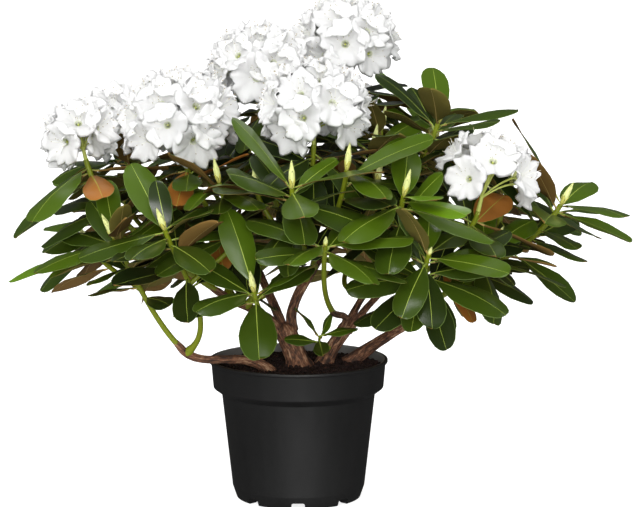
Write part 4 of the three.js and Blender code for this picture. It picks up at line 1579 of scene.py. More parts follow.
def rounded(corners, radius):
    """A line of corners with each one rounded, apart from the first and last."""
    line = [corners[0]]
    for before, here, after in zip(corners, corners[1:], corners[2:]):
        back, on = before - here, after - here
        near = min(radius, ROUNDING_MOST * np.linalg.norm(back), ROUNDING_MOST * np.linalg.norm(on))
        start, end = here + unit(back) * near, here + unit(on) * near
        for t in np.linspace(0, 1, ROUNDING_STEPS):
            line.append(start * (1 - t) ** 2 + here * 2 * t * (1 - t) + end * t**2)
    line.append(corners[-1])
    return np.array(line)


def lathe(name, line, segments, low, high):
    """A solid of revolution in millimetres, closed by a point on the axis at each end."""
    angles = np.arange(segments) * FULL_TURN / segments
    rings = np.stack((
        line[:, :1] * np.cos(angles), line[:, :1] * np.sin(angles), np.repeat(line[:, 1:], segments, axis=1),
    ), axis=-1)
    places = np.concatenate((rings.reshape(-1, 3), ((0, 0, low), (0, 0, high))))
    faces = []
    last = len(line) - 1
    for j in range(segments):
        after = (j + 1) % segments
        faces.append((len(places) - 2, after, j))
        faces.append((last * segments + j, last * segments + after, len(places) - 1))
        for k in range(last):
            low_ring, high_ring = k * segments, (k + 1) * segments
            faces.append((low_ring + j, low_ring + after, high_ring + after, high_ring + j))
    mesh = bpy.data.meshes.new(name)
    mesh.from_pydata(places * MM, [], faces)
    mesh.polygons.foreach_set("use_smooth", np.ones(len(mesh.polygons), bool))
    return mesh


class PLANT_OT_pot(bpy.types.Operator):
    """Builds the nursery pot with its lip, collar and notched foot"""

    bl_idname = "plant.pot"
    bl_label = "Pot"

    def execute(self, context):
        look = context.scene.plant_pot
        line = rounded(pot_profile(), look.edge / MM)
        pot = link("pot_shell", lathe("pot_shell", line, look.segments, 0.0, FLOOR_TOP))
        tool = link("notch_cutters", self.notch_cutters())
        cut = pot.modifiers.new("notches", "BOOLEAN")
        cut.object = tool
        cut.operation = "DIFFERENCE"
        cut.solver = "EXACT"
        mesh = evaluated_mesh(pot)
        pot.modifiers.clear()
        pot.data = mesh
        bpy.data.objects.remove(tool)
        mesh.set_sharp_from_angle(angle=POT_CREASE)
        mesh.materials.clear()
        mesh.materials.append(pot_finish(look))
        settle(pot, "pot_plastic", "pot")
        return {"FINISHED"}

    def notch_cutters(self):
        """Rounded blocks that cut the drainage notches through the foot ring."""
        cutters = bmesh.new()
        reach = FOOT_WIDTH + CHANNEL_DEPTH + BEVEL_WIDTH
        out = Matrix.Translation((0, -(BASE_RADIUS + BEVEL_WIDTH) * MM, 0))
        size = Matrix.Diagonal((NOTCH_WIDTH * MM, 2 * reach * MM, 2 * NOTCH_HEIGHT * MM, 1))
        for i in range(NOTCHES):
            turn = Matrix.Rotation(i * FULL_TURN / NOTCHES, 4, "Z")
            made = bmesh.ops.create_cube(cutters, size=1.0, matrix=turn @ out @ size)
            edges = dict.fromkeys(edge for vert in made["verts"] for edge in vert.link_edges)
            bmesh.ops.bevel(
                cutters, geom=[edge for edge in edges if self.along_notch(edge, turn)],
                offset=NOTCH_ROUNDING * MM, segments=NOTCH_ROUNDING_STEPS, affect="EDGES", profile=0.5,
            )
        return mesh_of(cutters, "notch_cutters")

    @staticmethod
    def along_notch(edge, turn):
        """True for the edges that run along a notch, from the outside of the foot to its inside."""
        run = (edge.verts[1].co - edge.verts[0].co).normalized()
        return abs(run.dot(turn @ Vector((0, 1, 0)))) > NEARLY_ALONG


# Potting mix


def mix_level(places, relief):
    """Heights of the mix's uneven surface."""
    out = np.hypot(places[:, 0], places[:, 1])
    slope = np.clip((out - (MIX_RADIUS - MIX_EDGE_WIDTH)) / MIX_EDGE_WIDTH, 0, 1)
    bumps = np.array([
        sum(share * noise.noise(Vector((x * waves, y * waves, place))) for waves, place, share in MIX_BUMPS)
        for x, y in places[:, :2]
    ])
    return MIX_LEVEL - MIX_EDGE_DROP * slope + relief * bumps * (1 - MIX_EDGE_CALM * slope)


class PLANT_OT_mix(bpy.types.Operator):
    """Fills the pot with potting mix and strews crumbs over it"""

    bl_idname = "plant.potting_mix"
    bl_label = "Potting mix"

    def execute(self, context):
        look = context.scene.plant_mix
        edge = MIX_RADIUS - MIX_INSET
        foot = edge - COLLAR_TAPER - MIX_FOOT_INSET
        foot_level = POT_HEIGHT - COLLAR_HEIGHT + MIX_FOOT_RISE
        rings = np.linspace(edge - MIX_OUTER_RING, MIX_INNER_RING, MIX_RINGS)
        surface = np.stack((rings, np.full(len(rings), MIX_LEVEL)), axis=1)
        line = np.concatenate((((foot, foot_level), (edge, MIX_LEVEL - MIX_EDGE_DROP)), surface))
        mesh = lathe("mix_ground", line, MIX_SEGMENTS, foot_level, MIX_LEVEL)
        places = np.zeros(len(mesh.vertices) * 3, np.float32)
        mesh.vertices.foreach_get("co", places)
        places = places.reshape(-1, 3) / MM
        top = places[:, 2] > MIX_LEVEL - MIX_TOP_DEPTH
        places[top, 2] = mix_level(places[top], look.relief / MM)
        mesh.vertices.foreach_set("co", (places * MM).ravel())
        mesh.update()
        ground = link("mix_ground", mesh)
        finish = mix_finish(look)
        mesh.materials.append(finish)
        settle(ground, "peat", "potting_mix")
        self.strew(ground, look, finish)
        return {"FINISHED"}

    def strew(self, ground, look, finish):
        """Strews crumbs over the bare top of the mix."""
        bare = bmesh.new()
        bare.from_mesh(ground.data)
        hidden = [face for face in bare.faces if not self.is_top(face)]
        bmesh.ops.delete(bare, geom=hidden, context="FACES")
        draw = seeded_numbers(SEED + CRUMB_SEED)
        lump = bmesh.new()
        bmesh.ops.create_icosphere(lump, subdivisions=1, radius=look.crumb)
        for vert in lump.verts:
            vert.co *= drawn(draw, CRUMB_SHARE)
            vert.co.z *= CRUMB_FLATNESS
        crumb = link("crumb", mesh_of(lump, "crumb"))
        made = finished(link("mix_top", mesh_of(bare, "mix_top")), crumb_recipe(), {
            "Crumb": crumb, "Density": look.density, "Seed": STREWN_SEED, "Finish": finish,
        }, "mix_crumbs")
        bpy.data.objects.remove(crumb)
        settle(link("mix_crumbs", made), "peat")

    @staticmethod
    def is_top(face):
        """True for the faces of the mix that crumbs lie on."""
        lowest = (MIX_LEVEL - STREWN_DEPTH) * MM
        return face.normal.z >= STREWN_STEEPNESS and face.calc_center_median().z >= lowest


# Limbs and shoots


def limb_paths(limbs):
    """Each limb's middle line and radii, from inside what carries it to its end or its leading stem."""
    paths = []
    t = np.linspace(0, 1, LIMB_POINTS)
    for limb in LIMBS:
        curve = limbs[limb.name]
        line, radii = curve.at(t), limb_radius(limb, t)
        if limb.foot:
            start = line[0] - curve.heading(0) * FOOT_DEPTHS[:, None]
            first = radii[0] * FOOT_SWELL
        else:
            start = limbs[limb.parent].at(FORK_PLACES)
            first = np.full(len(FORK_PLACES), limb.radii[0] * FORK_SLIMNESS)
        lead = [mass for mass in MASSES if mass.limb == limb.name and mass.at == 1]
        if lead:
            ends = stem_curve(lead[0], limb, curve).at(LEAD_PLACES)
            last = np.linspace(radii[-1] * LEAD_SLIMNESS, LEAD_RADIUS, len(LEAD_PLACES))
        else:
            ends = line[-1] + curve.heading(1) * STUB_SHARES[:, None] * radii[-1] * STUB_LENGTH
            last = radii[-1] * np.sqrt(1 - STUB_SHARES**2)
        paths.append((np.concatenate((start, line, ends)), np.concatenate((first, radii, last))))
    return paths


def shoot_paths(made, radius):
    """The green stems and side shoots, each from inside what carries it to its tip."""
    paths = []
    t = np.linspace(0, 1, SHOOT_POINTS)
    for _, shoot in made["sprays"]:
        mass = MASSES[shoot.mass]
        line = shoot.curve.at(t)
        size = radius * mass.size
        full, lost = LEADER_TAPER if shoot.leader else SIDE_TAPER
        radii = size * (full - lost * t)
        if shoot.leader and mass.at < 1:
            radii = radii + size * SHOOT_COLLAR * np.exp(-t / SHOOT_COLLAR_LENGTH)
        if shoot.leader:
            inside = made["limbs"][mass.limb].at(mass.at)
            line = np.concatenate((inside[None], line))
            radii = np.concatenate((radii[:1], radii))
        paths.append((line, radii))
    return paths


class PLANT_OT_limbs(bpy.types.Operator):
    """Builds the woody stems and boughs with the relief of their bark"""

    bl_idname = "plant.limbs"
    bl_label = "Stems and boughs"

    def execute(self, context):
        look = context.scene.plant_limbs
        paths = limb_paths(crown(context)["limbs"])
        mesh = tubes("woody_limbs", paths, look.sides, look.relief, look.grain, bark_finish(look))
        settle(link("woody_limbs", mesh), "bark", *(limb.name for limb in LIMBS))
        return {"FINISHED"}


class PLANT_OT_shoots(bpy.types.Operator):
    """Builds the green stems and side shoots that carry the leaves"""

    bl_idname = "plant.shoots"
    bl_label = "Green shoots"

    def execute(self, context):
        look = context.scene.plant_foliage
        finish = plain_finish("green_shoot", look.shoot, roughness=0.45)
        paths = shoot_paths(crown(context), look.stem_radius / MM)
        mesh = tubes("green_shoots", paths, SHOOT_SIDES, SHOOT_RELIEF * MM, SHOOT_GRAIN, finish)
        settle(link("green_shoots", mesh), "foliage")
        return {"FINISHED"}


# Leaves


def leaf_sheets(leaves, look, draw):
    """Upper and lower grids of every leaf, in millimetres. The last of a leaf's chances is spare."""
    frames = np.array([(leaf.root, leaf.blade.along, leaf.blade.upper, leaf.blade.side) for leaf in leaves])
    size = np.array([leaf.blade.length for leaf in leaves])[:, None]
    bend = np.array([leaf.blade.bend for leaf in leaves])[:, None, None]
    chance = np.array([[draw() for _ in range(LEAF_CHANCES)] for _ in leaves])[:, :, None]
    u = LEAF_ROWS[None]
    stalk = look.stalk / MM
    wide = np.maximum(half_width(u, size), stalk * (1 - u) ** STALK_NARROWING + LEAF_TIP_HALF_WIDTH)
    rib = np.minimum(look.rib / MM * (RIB_NARROWING - u), RIB_MOST * wide)
    inset = wide - np.minimum(look.margin / MM, MARGIN_MOST * wide)
    across = np.stack((-wide, -inset, -rib, rib, inset, wide), axis=-1)
    share = across / wide[..., None]
    blade = np.clip((u - PETIOLE) / BLADE_OPENING, 0, 1)[..., None]
    camber = CAMBER_LEAST + CAMBER_RANGE * chance[:, 0] - CUPPED_CAMBER * (chance[:, 1] > CUPPED_FROM)
    wave = np.sin(FULL_TURN * (WAVES * u + chance[:, 2]))[..., None] * np.sign(share) * WAVE_HEIGHT
    tipward = np.clip((u - DROOP_FROM) / DROOP_OVER, 0, 1)[..., None]
    droop = DROOP * wide.max(1)[:, None, None] * tipward**2
    rise = blade * (-camber[..., None] * (wide[..., None] * share**2 + droop) + wave * share**2)
    thick = (look.thickness / MM + (1 - blade) * STALK_THICKNESS) * LEAF_BODY
    upper = rise - LEAF_GROOVE * blade + (1 - blade) * STALK_RISE * LEAF_BODY
    twist = ((chance[:, 3] - 0.5) * LEAF_TWIST * u)[..., None]
    return [bent(frames, size, bend, u, across, height, twist) for height in (upper, upper - thick)]


def bent(frames, size, bend, u, across, height, twist):
    """Places on blades that bend along their length: offsets across and over each blade's arc."""
    sideways = across * np.cos(twist) - height * np.sin(twist)
    over = across * np.sin(twist) + height * np.cos(twist)
    arc = size[..., None] / bend
    turn = bend * u[..., None]
    root, along, upper, side = (frames[:, None, None, i] for i in range(4))
    forward = ((arc + over) * np.sin(turn))[..., None]
    rise = ((arc + over) * np.cos(turn) - arc)[..., None]
    return root + along * forward + upper * rise + side * sideways[..., None]


def leaf_tints(leaves, draw):
    """A tint for the upper and the lower side of each leaf, dealt out spray by spray. Leaves deep in the
    crown get darker tints as painted shade, and outer ones get lighter tints as painted light.
    """
    vigour = {}
    tints = []
    for leaf in leaves:
        if leaf.spray not in vigour:
            vigour[leaf.spray] = draw()
        # Painted shade for leaves inside the crown, painted light for those outside it
        outer = PAINTED_OUTER_LIGHT if flat_reach(leaf.blade.middle) > PAINTED_LIGHT_REACH else PAINTED_INNER_SHADE
        light = VIGOUR_LIGHT * vigour[leaf.spray] + YOUTH_LIGHT * (1 - leaf.age) + outer
        light += stray(draw, LIGHT_STRAY)
        upper = int(np.clip(light * TINT_STEP - TINT_START, 0, len(GREENS) - 1))
        lower = 0 if draw() < FELT_SHARE else 1
        if MASSES[leaf.blade.mass].truss and draw() < ORANGE_SHARE:
            upper = UPPER_TINTS.index("felt_orange")
            lower = LOWER_TINTS.index("felt_orange")
        tints.append((upper, lower))
    return np.array(tints)


class PLANT_OT_leaves(bpy.types.Operator):
    """Builds every leaf as a thin bent blade with a midrib and a felted underside"""

    bl_idname = "plant.leaves"
    bl_label = "Leaves"

    def execute(self, context):
        look = context.scene.plant_foliage
        leaves = crown(context)["leaves"]
        draw = seeded_numbers(SEED + LEAF_SEED)
        upper, lower = leaf_sheets(leaves, look, draw)
        plan = SheetPlan(len(LEAF_ROWS), LEAF_COLUMNS)
        places = plan.places(upper, lower).reshape(-1, 3)
        kinds = self.kinds(plan, leaf_tints(leaves, draw))
        mesh = solid_mesh("leaf_blades", places, plan.many(len(leaves)), kinds, self.finishes(look))
        settle(link("leaf_blades", mesh), "foliage", *(f"leaves_{mass.name}" for mass in MASSES))
        return {"FINISHED"}

    @staticmethod
    def finishes(look):
        """The tints of the upper and the lower side, and then the rib's two and the margin's painted
        highlight.
        """
        shine = {"Specular IOR Level": look.shine}
        matt = {"Specular IOR Level": 0.2}
        return [
            *(plain_finish(f"leaf_{name}", getattr(look, name), look.gloss, shine) for name in UPPER_TINTS),
            *(plain_finish(f"under_{name}", getattr(look, name), 0.85, matt) for name in LOWER_TINTS),
            plain_finish("leaf_rib", look.rib_upper, roughness=0.42),
            plain_finish("under_rib", look.rib_lower, roughness=0.7),
            plain_finish("leaf_margin", look.edge, roughness=0.5),
        ]

    @staticmethod
    def kinds(plan, tints):
        """The finish of every face: tints on the blade, and others on the rib, stalk and margin, whose pale
        tint is a painted highlight.
        """
        rows, columns = plan.shape
        row, column = np.divmod(np.arange(rows * columns), columns)
        ribbed = (column == columns // 2) | (row < 1)
        highlight_edged = (column == 0) | (column == columns - 1)
        rib_upper, rib_lower, margin = np.arange(3) + len(UPPER_TINTS) + len(LOWER_TINTS)
        upper = np.where(highlight_edged, margin, np.where(ribbed, rib_upper, tints[:, :1]))
        lower = np.where(ribbed, rib_lower, tints[:, 1:] + len(UPPER_TINTS))
        return np.concatenate((upper, lower), axis=1)


# Buds and florets


def ring_cap(ring):
    """Faces of four corners that close a ring with an even number of corners."""
    last = len(ring) - 1
    return np.array([(ring[i], ring[i + 1], ring[last - i - 1], ring[last - i]) for i in range(last // 2)])


def tube_part(line, radii, sides, kind):
    """A closed tube with an even number of sides, for the small parts of a bud or floret."""
    heading = unit(np.gradient(line, axis=0))
    across = np.where(np.abs(heading[:, :1]) < NEARLY_ALONG, (1.0, 0, 0), (0, 1.0, 0))
    first = unit(np.cross(heading, across))
    second = np.cross(heading, first)
    angles = np.arange(sides) * FULL_TURN / sides
    ring = first[:, None] * np.cos(angles)[None, :, None] + second[:, None] * np.sin(angles)[None, :, None]
    places = line[:, None] + ring * np.broadcast_to(radii, len(line))[:, None, None]
    grid = np.arange(len(line) * sides).reshape(len(line), sides)
    grid = np.concatenate((grid, grid[:, :1]), axis=1)
    faces = quads_of(grid)[:, ::-1], ring_cap(grid[0, :sides])[:, ::-1], ring_cap(grid[-1, :sides])
    return places.reshape(-1, 3), np.concatenate(faces), kind


def bud_radius(t):
    return BUD_RADIUS * np.maximum(0, np.sin(math.pi * np.clip(t, 0, 1) ** BUD_BELLY)) ** BUD_TAPER


def round_places(radius, angle, height):
    """Places about the Z axis."""
    return np.stack((radius * np.cos(angle), radius * np.sin(angle), height), axis=-1)


def bud_part():
    """A slender pointed bud of overlapping scales that stands on the origin."""
    spine = BUD_RINGS[:, None] * UP * BUD_LENGTH
    core = bud_radius(BUD_RINGS) * BUD_CORE + BUD_CORE_LEAST
    parts = [tube_part(spine, core, BUD_SIDES, 0)]
    plan = SheetPlan(SCALE_ROWS, SCALE_COLUMNS)
    q, v = np.meshgrid(np.linspace(0, 1, SCALE_ROWS), np.linspace(-1, 1, SCALE_COLUMNS), indexing="ij")
    splay = SCALE_SPREAD * np.sqrt(np.maximum(SCALE_NARROWEST, 1 - q**SCALE_POINT))
    for tier, (low, high, kind) in enumerate(SCALE_TIERS):
        t = low + (high - low) * q
        radius = bud_radius(t) * SCALE_FIT + SCALE_CLEAR - SCALE_NEST * tier + SCALE_FLARES[tier] * q**3
        for k in range(SCALES):
            angle = k * FULL_TURN / SCALES + tier * SCALE_TURN + v * splay
            outer = round_places(radius, angle, t * BUD_LENGTH)
            inner = round_places(radius - SCALE_THICKNESS, angle, t * BUD_LENGTH)
            parts.append((plan.places(inner[None], outer[None])[0], plan.faces, kind))
    return joined(parts)


def floret_skin(variant):
    """The inner side of a wide five-lobed ruffled corolla of unit radius about the Z axis."""
    draw = seeded_numbers(SEED + COROLLA_SEED + variant)
    columns = LOBES * LOBE_COLUMNS + 1
    s, angle = np.meshgrid(FLORET_ROWS, np.linspace(0, FULL_TURN, columns), indexing="ij")
    flare = np.clip((s - FLARE_FROM) / (1 - FLARE_FROM), 0, 1)
    within = (angle * LOBES / FULL_TURN + 0.5) % 1 - 0.5
    lobe = 1 - np.abs(2 * within) ** 4
    ripple = sum(share * np.sin(turns * angle + FULL_TURN * draw()) for turns, share in RIPPLES)
    crease = np.exp(-((within / CREASE_WIDTH) ** 2))
    open_radius = THROAT_RADIUS + (1 - THROAT_RADIUS) * s**BELL_OPENING
    radius = open_radius * (1 - LOBE_NOTCH * (1 - lobe) * flare) + RIPPLE_OUT * flare**3 * ripple
    bell = np.sin(math.pi / 2 * np.clip(s / BELL_TOP, 0, 1)) ** BELL_BELLY
    height = FLORET_DEPTH * bell - RIM_FALL * flare**4
    ruffle = LOBE_CUP * lobe + LOBE_TILT * within + RIPPLE_UP * ripple
    height += flare**2 * ruffle - CREASE_DEPTH * flare * crease
    skin = round_places(radius, angle, height)
    skin[:, -1] = skin[:, 0]
    across = np.gradient(skin, axis=1)
    across[:, 0] = across[:, -1] = skin[:, 1] - skin[:, -2]
    return skin, unit(np.cross(np.gradient(skin, axis=0), across))


def floret_part(variant):
    """The corolla as a thin sheet, with its throat of another tint."""
    skin, facing = floret_skin(variant)
    rows, columns = skin.shape[:2]
    plan = SheetPlan(rows, columns, ring=True)
    row = np.repeat(np.arange(rows - 1), columns - 1)
    kinds = np.concatenate((np.where(row < THROAT_ROWS, 1, 0), np.zeros(len(row), int)))
    return plan.places(skin[None], (skin - facing * PETAL_THICKNESS)[None])[0], plan.faces, kinds


def stamen_part(variant):
    """The stamens of a floret and the marks in its throat."""
    draw = seeded_numbers(SEED + STAMEN_SEED + variant)
    skin, facing = floret_skin(variant)
    parts = []
    q = STAMEN_POINTS
    for k in range(STAMENS):
        turn = k * FULL_TURN / STAMENS + STAMEN_SWING * draw()
        out = STAMEN_OUT + drawn(draw, STAMEN_REACH) * q**STAMEN_CURVE
        height = STAMEN_FOOT + drawn(draw, STAMEN_LENGTH) * q
        line = np.stack((out * np.cos(turn) + STAMEN_LEAN * q**2, out * np.sin(turn), height), axis=-1)
        parts.append(tube_part(line, STAMEN_RADIUS, SMALL_SIDES, 0))
        tip = line[-1] + np.outer(ANTHER_HEIGHTS, UP)
        parts.append(tube_part(tip, ANTHER_RADII, SMALL_SIDES, 1))
    for _ in range(THROAT_MARKS):
        row = 1 + int(MARK_ROWS * draw())
        column = int(stray(draw, LOBE_COLUMNS)) % (skin.shape[1] - 1)
        spot = skin[row, column] + (skin[row + 1, column] - skin[row, column]) * draw()
        flake = np.stack((spot, spot + facing[row, column] * MARK_THICKNESS))
        parts.append(tube_part(flake, drawn(draw, MARK_RADIUS), SMALL_SIDES, 2))
    return joined(parts)


def stance_of(axis, toward):
    """The turn that brings Z onto an axis, with X towards a second direction."""
    first = square_to(axis, toward)
    columns = np.stack((first, np.cross(axis, first), axis), axis=1)
    return Matrix(columns.tolist()).to_quaternion()


def spread(name, part, stances, finishes):
    """Sets one shape on many places, and gives the whole as one mesh."""
    places, faces, kinds = part
    shape_mesh = solid_mesh(f"{name}_shape", places, faces)
    keep_values(shape_mesh, "finish_number", "INT", kinds.astype(np.int32), "FACE")
    shape = link(f"{name}_shape", shape_mesh)
    mesh = bpy.data.meshes.new(f"{name}_points")
    mesh.from_pydata([place * MM for place, _, _ in stances], [], [])
    turns = np.array([tuple(turn) for _, turn, _ in stances], np.float32)
    sizes = np.array([np.broadcast_to(size, 3) for _, _, size in stances], np.float32)
    keep_values(mesh, "stance", "QUATERNION", turns)
    keep_values(mesh, "size", "FLOAT_VECTOR", sizes, key="vector")
    inputs = {f"Finish {i}": finish for i, finish in enumerate(finishes)}
    made = finished(link(f"{name}_points", mesh), spread_recipe(name, len(finishes)), {
        "Shape": shape, **inputs,
    }, name)
    bpy.data.objects.remove(shape)
    return made


def merged(name, meshes, finishes):
    """Several meshes with the same finishes as one."""
    whole = bmesh.new()
    for mesh in meshes:
        places = np.array([finishes.index(finish) for finish in mesh.materials], np.int32)
        mesh.polygons.foreach_set("material_index", places[finish_numbers(mesh)])
        whole.from_mesh(mesh)
        bpy.data.meshes.remove(mesh)
    made = mesh_of(whole, name)
    for finish in finishes:
        made.materials.append(finish)
    return made


class PLANT_OT_buds(bpy.types.Operator):
    """Builds the pointed buds at the shoots' tips"""

    bl_idname = "plant.buds"
    bl_label = "Buds"

    def execute(self, context):
        look = context.scene.plant_foliage
        draw = seeded_numbers(SEED + BUD_SEED)
        finishes = [
            plain_finish("bud_scale", look.bud, roughness=0.42),
            plain_finish("bud_foot", look.bud_foot, roughness=0.5),
        ]
        stances = []
        for _, shoot in crown(context)["sprays"]:
            if not shoot.bud:
                continue
            axis = shoot.curve.heading(1)
            toward = in_plane(plane_of(axis), draw() * FULL_TURN)
            tall = drawn(draw, BUD_SHARE) * shoot.bud
            girth = look.bud_girth * (0.5 + 0.5 * shoot.bud)
            place = shoot.curve.at(1) - axis * BUD_SINK
            stances.append((place, stance_of(axis, toward), (girth, girth, tall)))
        mesh = spread("leaf_buds", bud_part(), stances, finishes)
        settle(link("leaf_buds", mesh), "foliage")
        return {"FINISHED"}


def floret_stances(dome, look, draw):
    """Where each floret of a truss stands: its foot, its outward direction and its radius."""
    plane = plane_of(dome.axis)
    loose = MASSES[dome.mass].name == LOOSE_TRUSS
    lowest = math.cos(look.lowest_loose if loose else look.lowest)
    full = look.cover * 2 * (1 - lowest) * dome.radius * dome.height * (MM / look.floret) ** 2
    count = look.florets_loose if loose else round(full)
    inner = 0 if loose else round(look.inner * count)
    for i in range(count + inner):
        deep = i >= count
        place = (i - count + INNER_FIRST) / inner if deep else (i + FLORET_FIRST) / count
        rise = 1 + (lowest - 1) * place
        out = math.sqrt(1 - rise * rise)
        turn = i * GOLDEN_ANGLE + stray(draw, FLORET_SWING)
        outward = dome.axis * rise + in_plane(plane, turn) * out
        reach = (look.inner_reach if deep else 1) / math.hypot(rise / dome.height, out / dome.radius)
        radius = look.floret / MM * drawn(draw, FLORET_SHARE) * (INNER_SHARE if deep else 1)
        level = math.sqrt(reach**2 - (FLORET_RIM * radius) ** 2)
        foot = dome.centre + outward * (level - FLORET_DEPTH * radius * FLORET_SINK)
        lift = unit(outward + UP * FLORET_LIFT + stray_vector(draw, FLORET_STRAY))
        yield foot, lift, radius


class PLANT_OT_trusses(bpy.types.Operator):
    """Builds the flower trusses: florets, their stamens, and the stalks that carry them"""

    bl_idname = "plant.trusses"
    bl_label = "Flower trusses"

    def execute(self, context):
        look = context.scene.plant_trusses
        draw = seeded_numbers(SEED + TRUSS_SEED)
        sides = {"truss_florets_left": [], "truss_florets_right": []}
        stalks = []
        for dome in crown(context)["domes"]:
            hub = dome.centre - dome.axis * dome.height * HUB_DEPTH
            overlap = dome.axis * NECK_OVERLAP
            neck = np.linspace(dome.tip - overlap, hub + overlap, NECK_POINTS)
            stalks.append((neck, np.linspace(*NECK_RADII, NECK_POINTS)))
            florets = []
            for foot, lift, radius in floret_stances(dome, look, draw):
                toward = UP + stray_vector(draw, FLORET_ROLL)
                florets.append((int(draw() * FLORET_SHAPES), (foot, stance_of(lift, toward), radius)))
                stalk = Bow(hub, unit(lift + dome.axis), foot + lift * STALK_OVERLAP, lift)
                path = stalk.at(np.linspace(0, 1, STALK_POINTS))
                stalks.append((path, np.linspace(*STALK_RADII, STALK_POINTS)))
            side = "truss_florets_left" if dome.centre[0] < look.split / MM else "truss_florets_right"
            sides[side].append((f"truss_{MASSES[dome.mass].name}", florets))
        self.florets(look, sides)
        self.stamens(look, [floret for trusses in sides.values() for _, some in trusses for floret in some])
        finish = plain_finish("flower_stalk", look.stalk, roughness=0.5)
        mesh = tubes("truss_stalks", stalks, STALK_SIDES, STALK_RELIEF * MM, STALK_GRAIN, finish)
        settle(link("truss_stalks", mesh), "foliage")
        return {"FINISHED"}

    @staticmethod
    def of_each_shape(name, part, florets, finishes):
        """One mesh of all the florets given, each in its own shape."""
        meshes = []
        for shape in range(FLORET_SHAPES):
            stances = [stance for number, stance in florets if number == shape]
            if stances:
                meshes.append(spread(f"{name}_{shape}", part(shape), stances, finishes))
        return link(name, merged(name, meshes, finishes))

    def florets(self, look, sides):
        soft = {
            "Subsurface Weight": look.softness, "Subsurface Radius": (1.0, 1.0, 1.0),
            "Subsurface Scale": PETAL_SCATTER, "Specular IOR Level": 0.25,
        }
        finishes = [
            plain_finish("petal", look.petal, roughness=0.6, extra=soft),
            plain_finish("throat", look.throat, roughness=0.6, extra=soft),
        ]
        for name, trusses in sides.items():
            florets = [floret for _, some in trusses for floret in some]
            piece = self.of_each_shape(name, floret_part, florets, finishes)
            settle(piece, "petals", *(node for node, _ in trusses))

    def stamens(self, look, florets):
        finishes = [
            plain_finish("filament", look.filament, roughness=0.5),
            plain_finish("anther", look.anther, roughness=0.7),
            plain_finish("throat_mark", look.speck, roughness=0.6),
        ]
        settle(self.of_each_shape("truss_stamens", stamen_part, florets, finishes), "petals")


# Stage


def point_along(item, direction):
    """Turns a light or a camera to look along a direction."""
    item.rotation_mode = "QUATERNION"
    item.rotation_quaternion = direction.to_track_quat("-Z", "Y")


def far_light(name, toward, strength, width, mirrored=False):
    """A light so far off that it falls evenly everywhere. Gloss mirrors it only where that is asked for."""
    light = bpy.data.lights.new(name, "SUN")
    light.energy = strength
    light.angle = width
    lamp = link(name, light)
    point_along(lamp, -Vector(toward))
    lamp.visible_glossy = mirrored


def studio_world(strength, mirrored):
    """An even light all round, in front of a white backdrop. Gloss mirrors a darker room."""
    world = bpy.data.worlds.new("studio")
    world.use_nodes = True
    graph = Graph(world.node_tree)
    sky = next(node for node in world.node_tree.nodes if node.type == "BACKGROUND")
    seen = graph.node("ShaderNodeLightPath", output="Is Camera Ray")
    gloss = graph.other(seen, "Is Glossy Ray")
    light = strength + (1 - strength) * seen + (mirrored - strength) * gloss
    graph.fill(sky, {"Color": (1, 1, 1, 1), "Strength": light})
    return world


def floor_finish(look):
    """A pale sheet whose glow only the eye sees, so that it lights the plant no more than a floor does."""
    finish = Finish("studio_floor")
    seen = finish.node("ShaderNodeLightPath", output="Is Camera Ray")
    glow = finish.between(seen, ((0.0, (0, 0, 0, 1)), (1.0, (1, 1, 1, 1))))
    return finish.surface({
        "Base Color": opaque(look.floor), "Roughness": 0.9, "Emission Color": glow,
        "Emission Strength": look.floor_glow,
    })


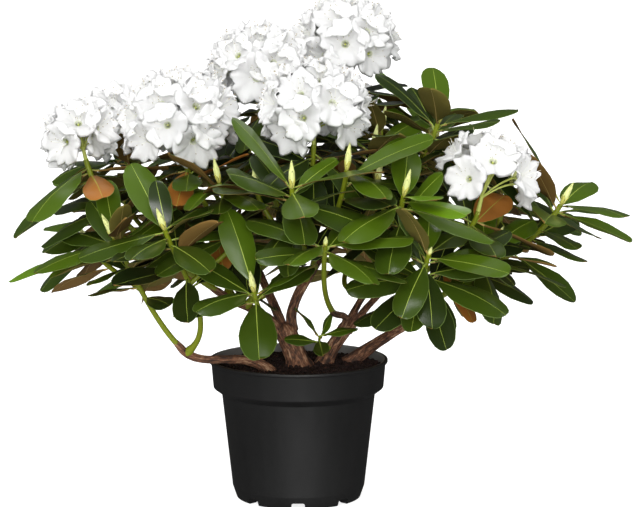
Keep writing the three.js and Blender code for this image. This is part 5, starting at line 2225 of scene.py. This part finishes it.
class PLANT_OT_stage(bpy.types.Operator):
    """Sets the pale floor, the soft light and the camera"""

    bl_idname = "plant.stage"
    bl_label = "Studio"

    def execute(self, context):
        look = context.scene.plant_stage
        ground = bmesh.new()
        bmesh.ops.create_grid(ground, x_segments=1, y_segments=1, size=FLOOR_HALF)
        floor = link("studio_floor", mesh_of(ground, "studio_floor"))
        floor.location.z = -FLOOR_DROP
        floor.data.materials.append(floor_finish(look))
        floor.visible_glossy = False
        context.scene.world = studio_world(look.sky, look.mirrored)
        far_light("key_light", (-0.2, -1.0, 0.55), look.key, SOFT_LIGHT)
        far_light("side_light", (0.8, -0.4, 0.5), look.fill, SOFT_LIGHT)
        far_light("back_light", (-0.3, 1.0, 0.7), look.back, SOFT_LIGHT)
        far_light("top_glint", (0.1, -0.15, 1), look.glint, SMALL_LIGHT, mirrored=True)
        far_light("front_glint", (-0.4, -0.85, 0.55), look.glint, SMALL_LIGHT, mirrored=True)
        far_light("low_light", (0.05, -1.0, 0.12), look.low, LOW_LIGHT, mirrored=True)
        context.scene.view_settings.view_transform = "Standard"
        camera = bpy.data.cameras.new("studio_camera")
        camera.sensor_width = SENSOR
        camera.lens = SENSOR * look.distance / look.field
        eye = link("studio_camera", camera)
        back = Vector((0, -math.cos(look.elevation), math.sin(look.elevation)))
        eye.location = Vector((look.aim_across, 0, look.aim_up)) + back * look.distance
        point_along(eye, -back)
        context.scene.camera = eye
        return {"FINISHED"}


# Panel and registration


PIECES = (
    PLANT_OT_pot, PLANT_OT_mix, PLANT_OT_limbs, PLANT_OT_shoots, PLANT_OT_leaves, PLANT_OT_buds,
    PLANT_OT_trusses, PLANT_OT_stage,
)


class PLANT_PT_panel(bpy.types.Panel):
    """Lists the plant's settings and the steps that build it"""

    bl_label = "Potted rhododendron"
    bl_space_type = "VIEW_3D"
    bl_region_type = "UI"
    bl_category = "Plant"

    def draw(self, context):
        for key, group in SETTINGS.items():
            box = self.layout.box()
            box.label(text=group.bl_rna.description)
            for name in group.__annotations__:
                box.prop(getattr(context.scene, key), name)
        for piece in PIECES:
            self.layout.operator(piece.bl_idname)


def register():
    for group in SETTINGS.values():
        bpy.utils.register_class(group)
    for key, group in SETTINGS.items():
        setattr(bpy.types.Scene, key, PointerProperty(type=group))
    for piece in (*PIECES, PLANT_PT_panel):
        bpy.utils.register_class(piece)


def unregister():
    for piece in (PLANT_PT_panel, *reversed(PIECES)):
        bpy.utils.unregister_class(piece)
    for key, group in SETTINGS.items():
        delattr(bpy.types.Scene, key)
        bpy.utils.unregister_class(group)


def main():
    register()
    for piece in PIECES:
        group, name = piece.bl_idname.split(".")
        getattr(getattr(bpy.ops, group), name)()


if __name__ == "__main__":
    main()
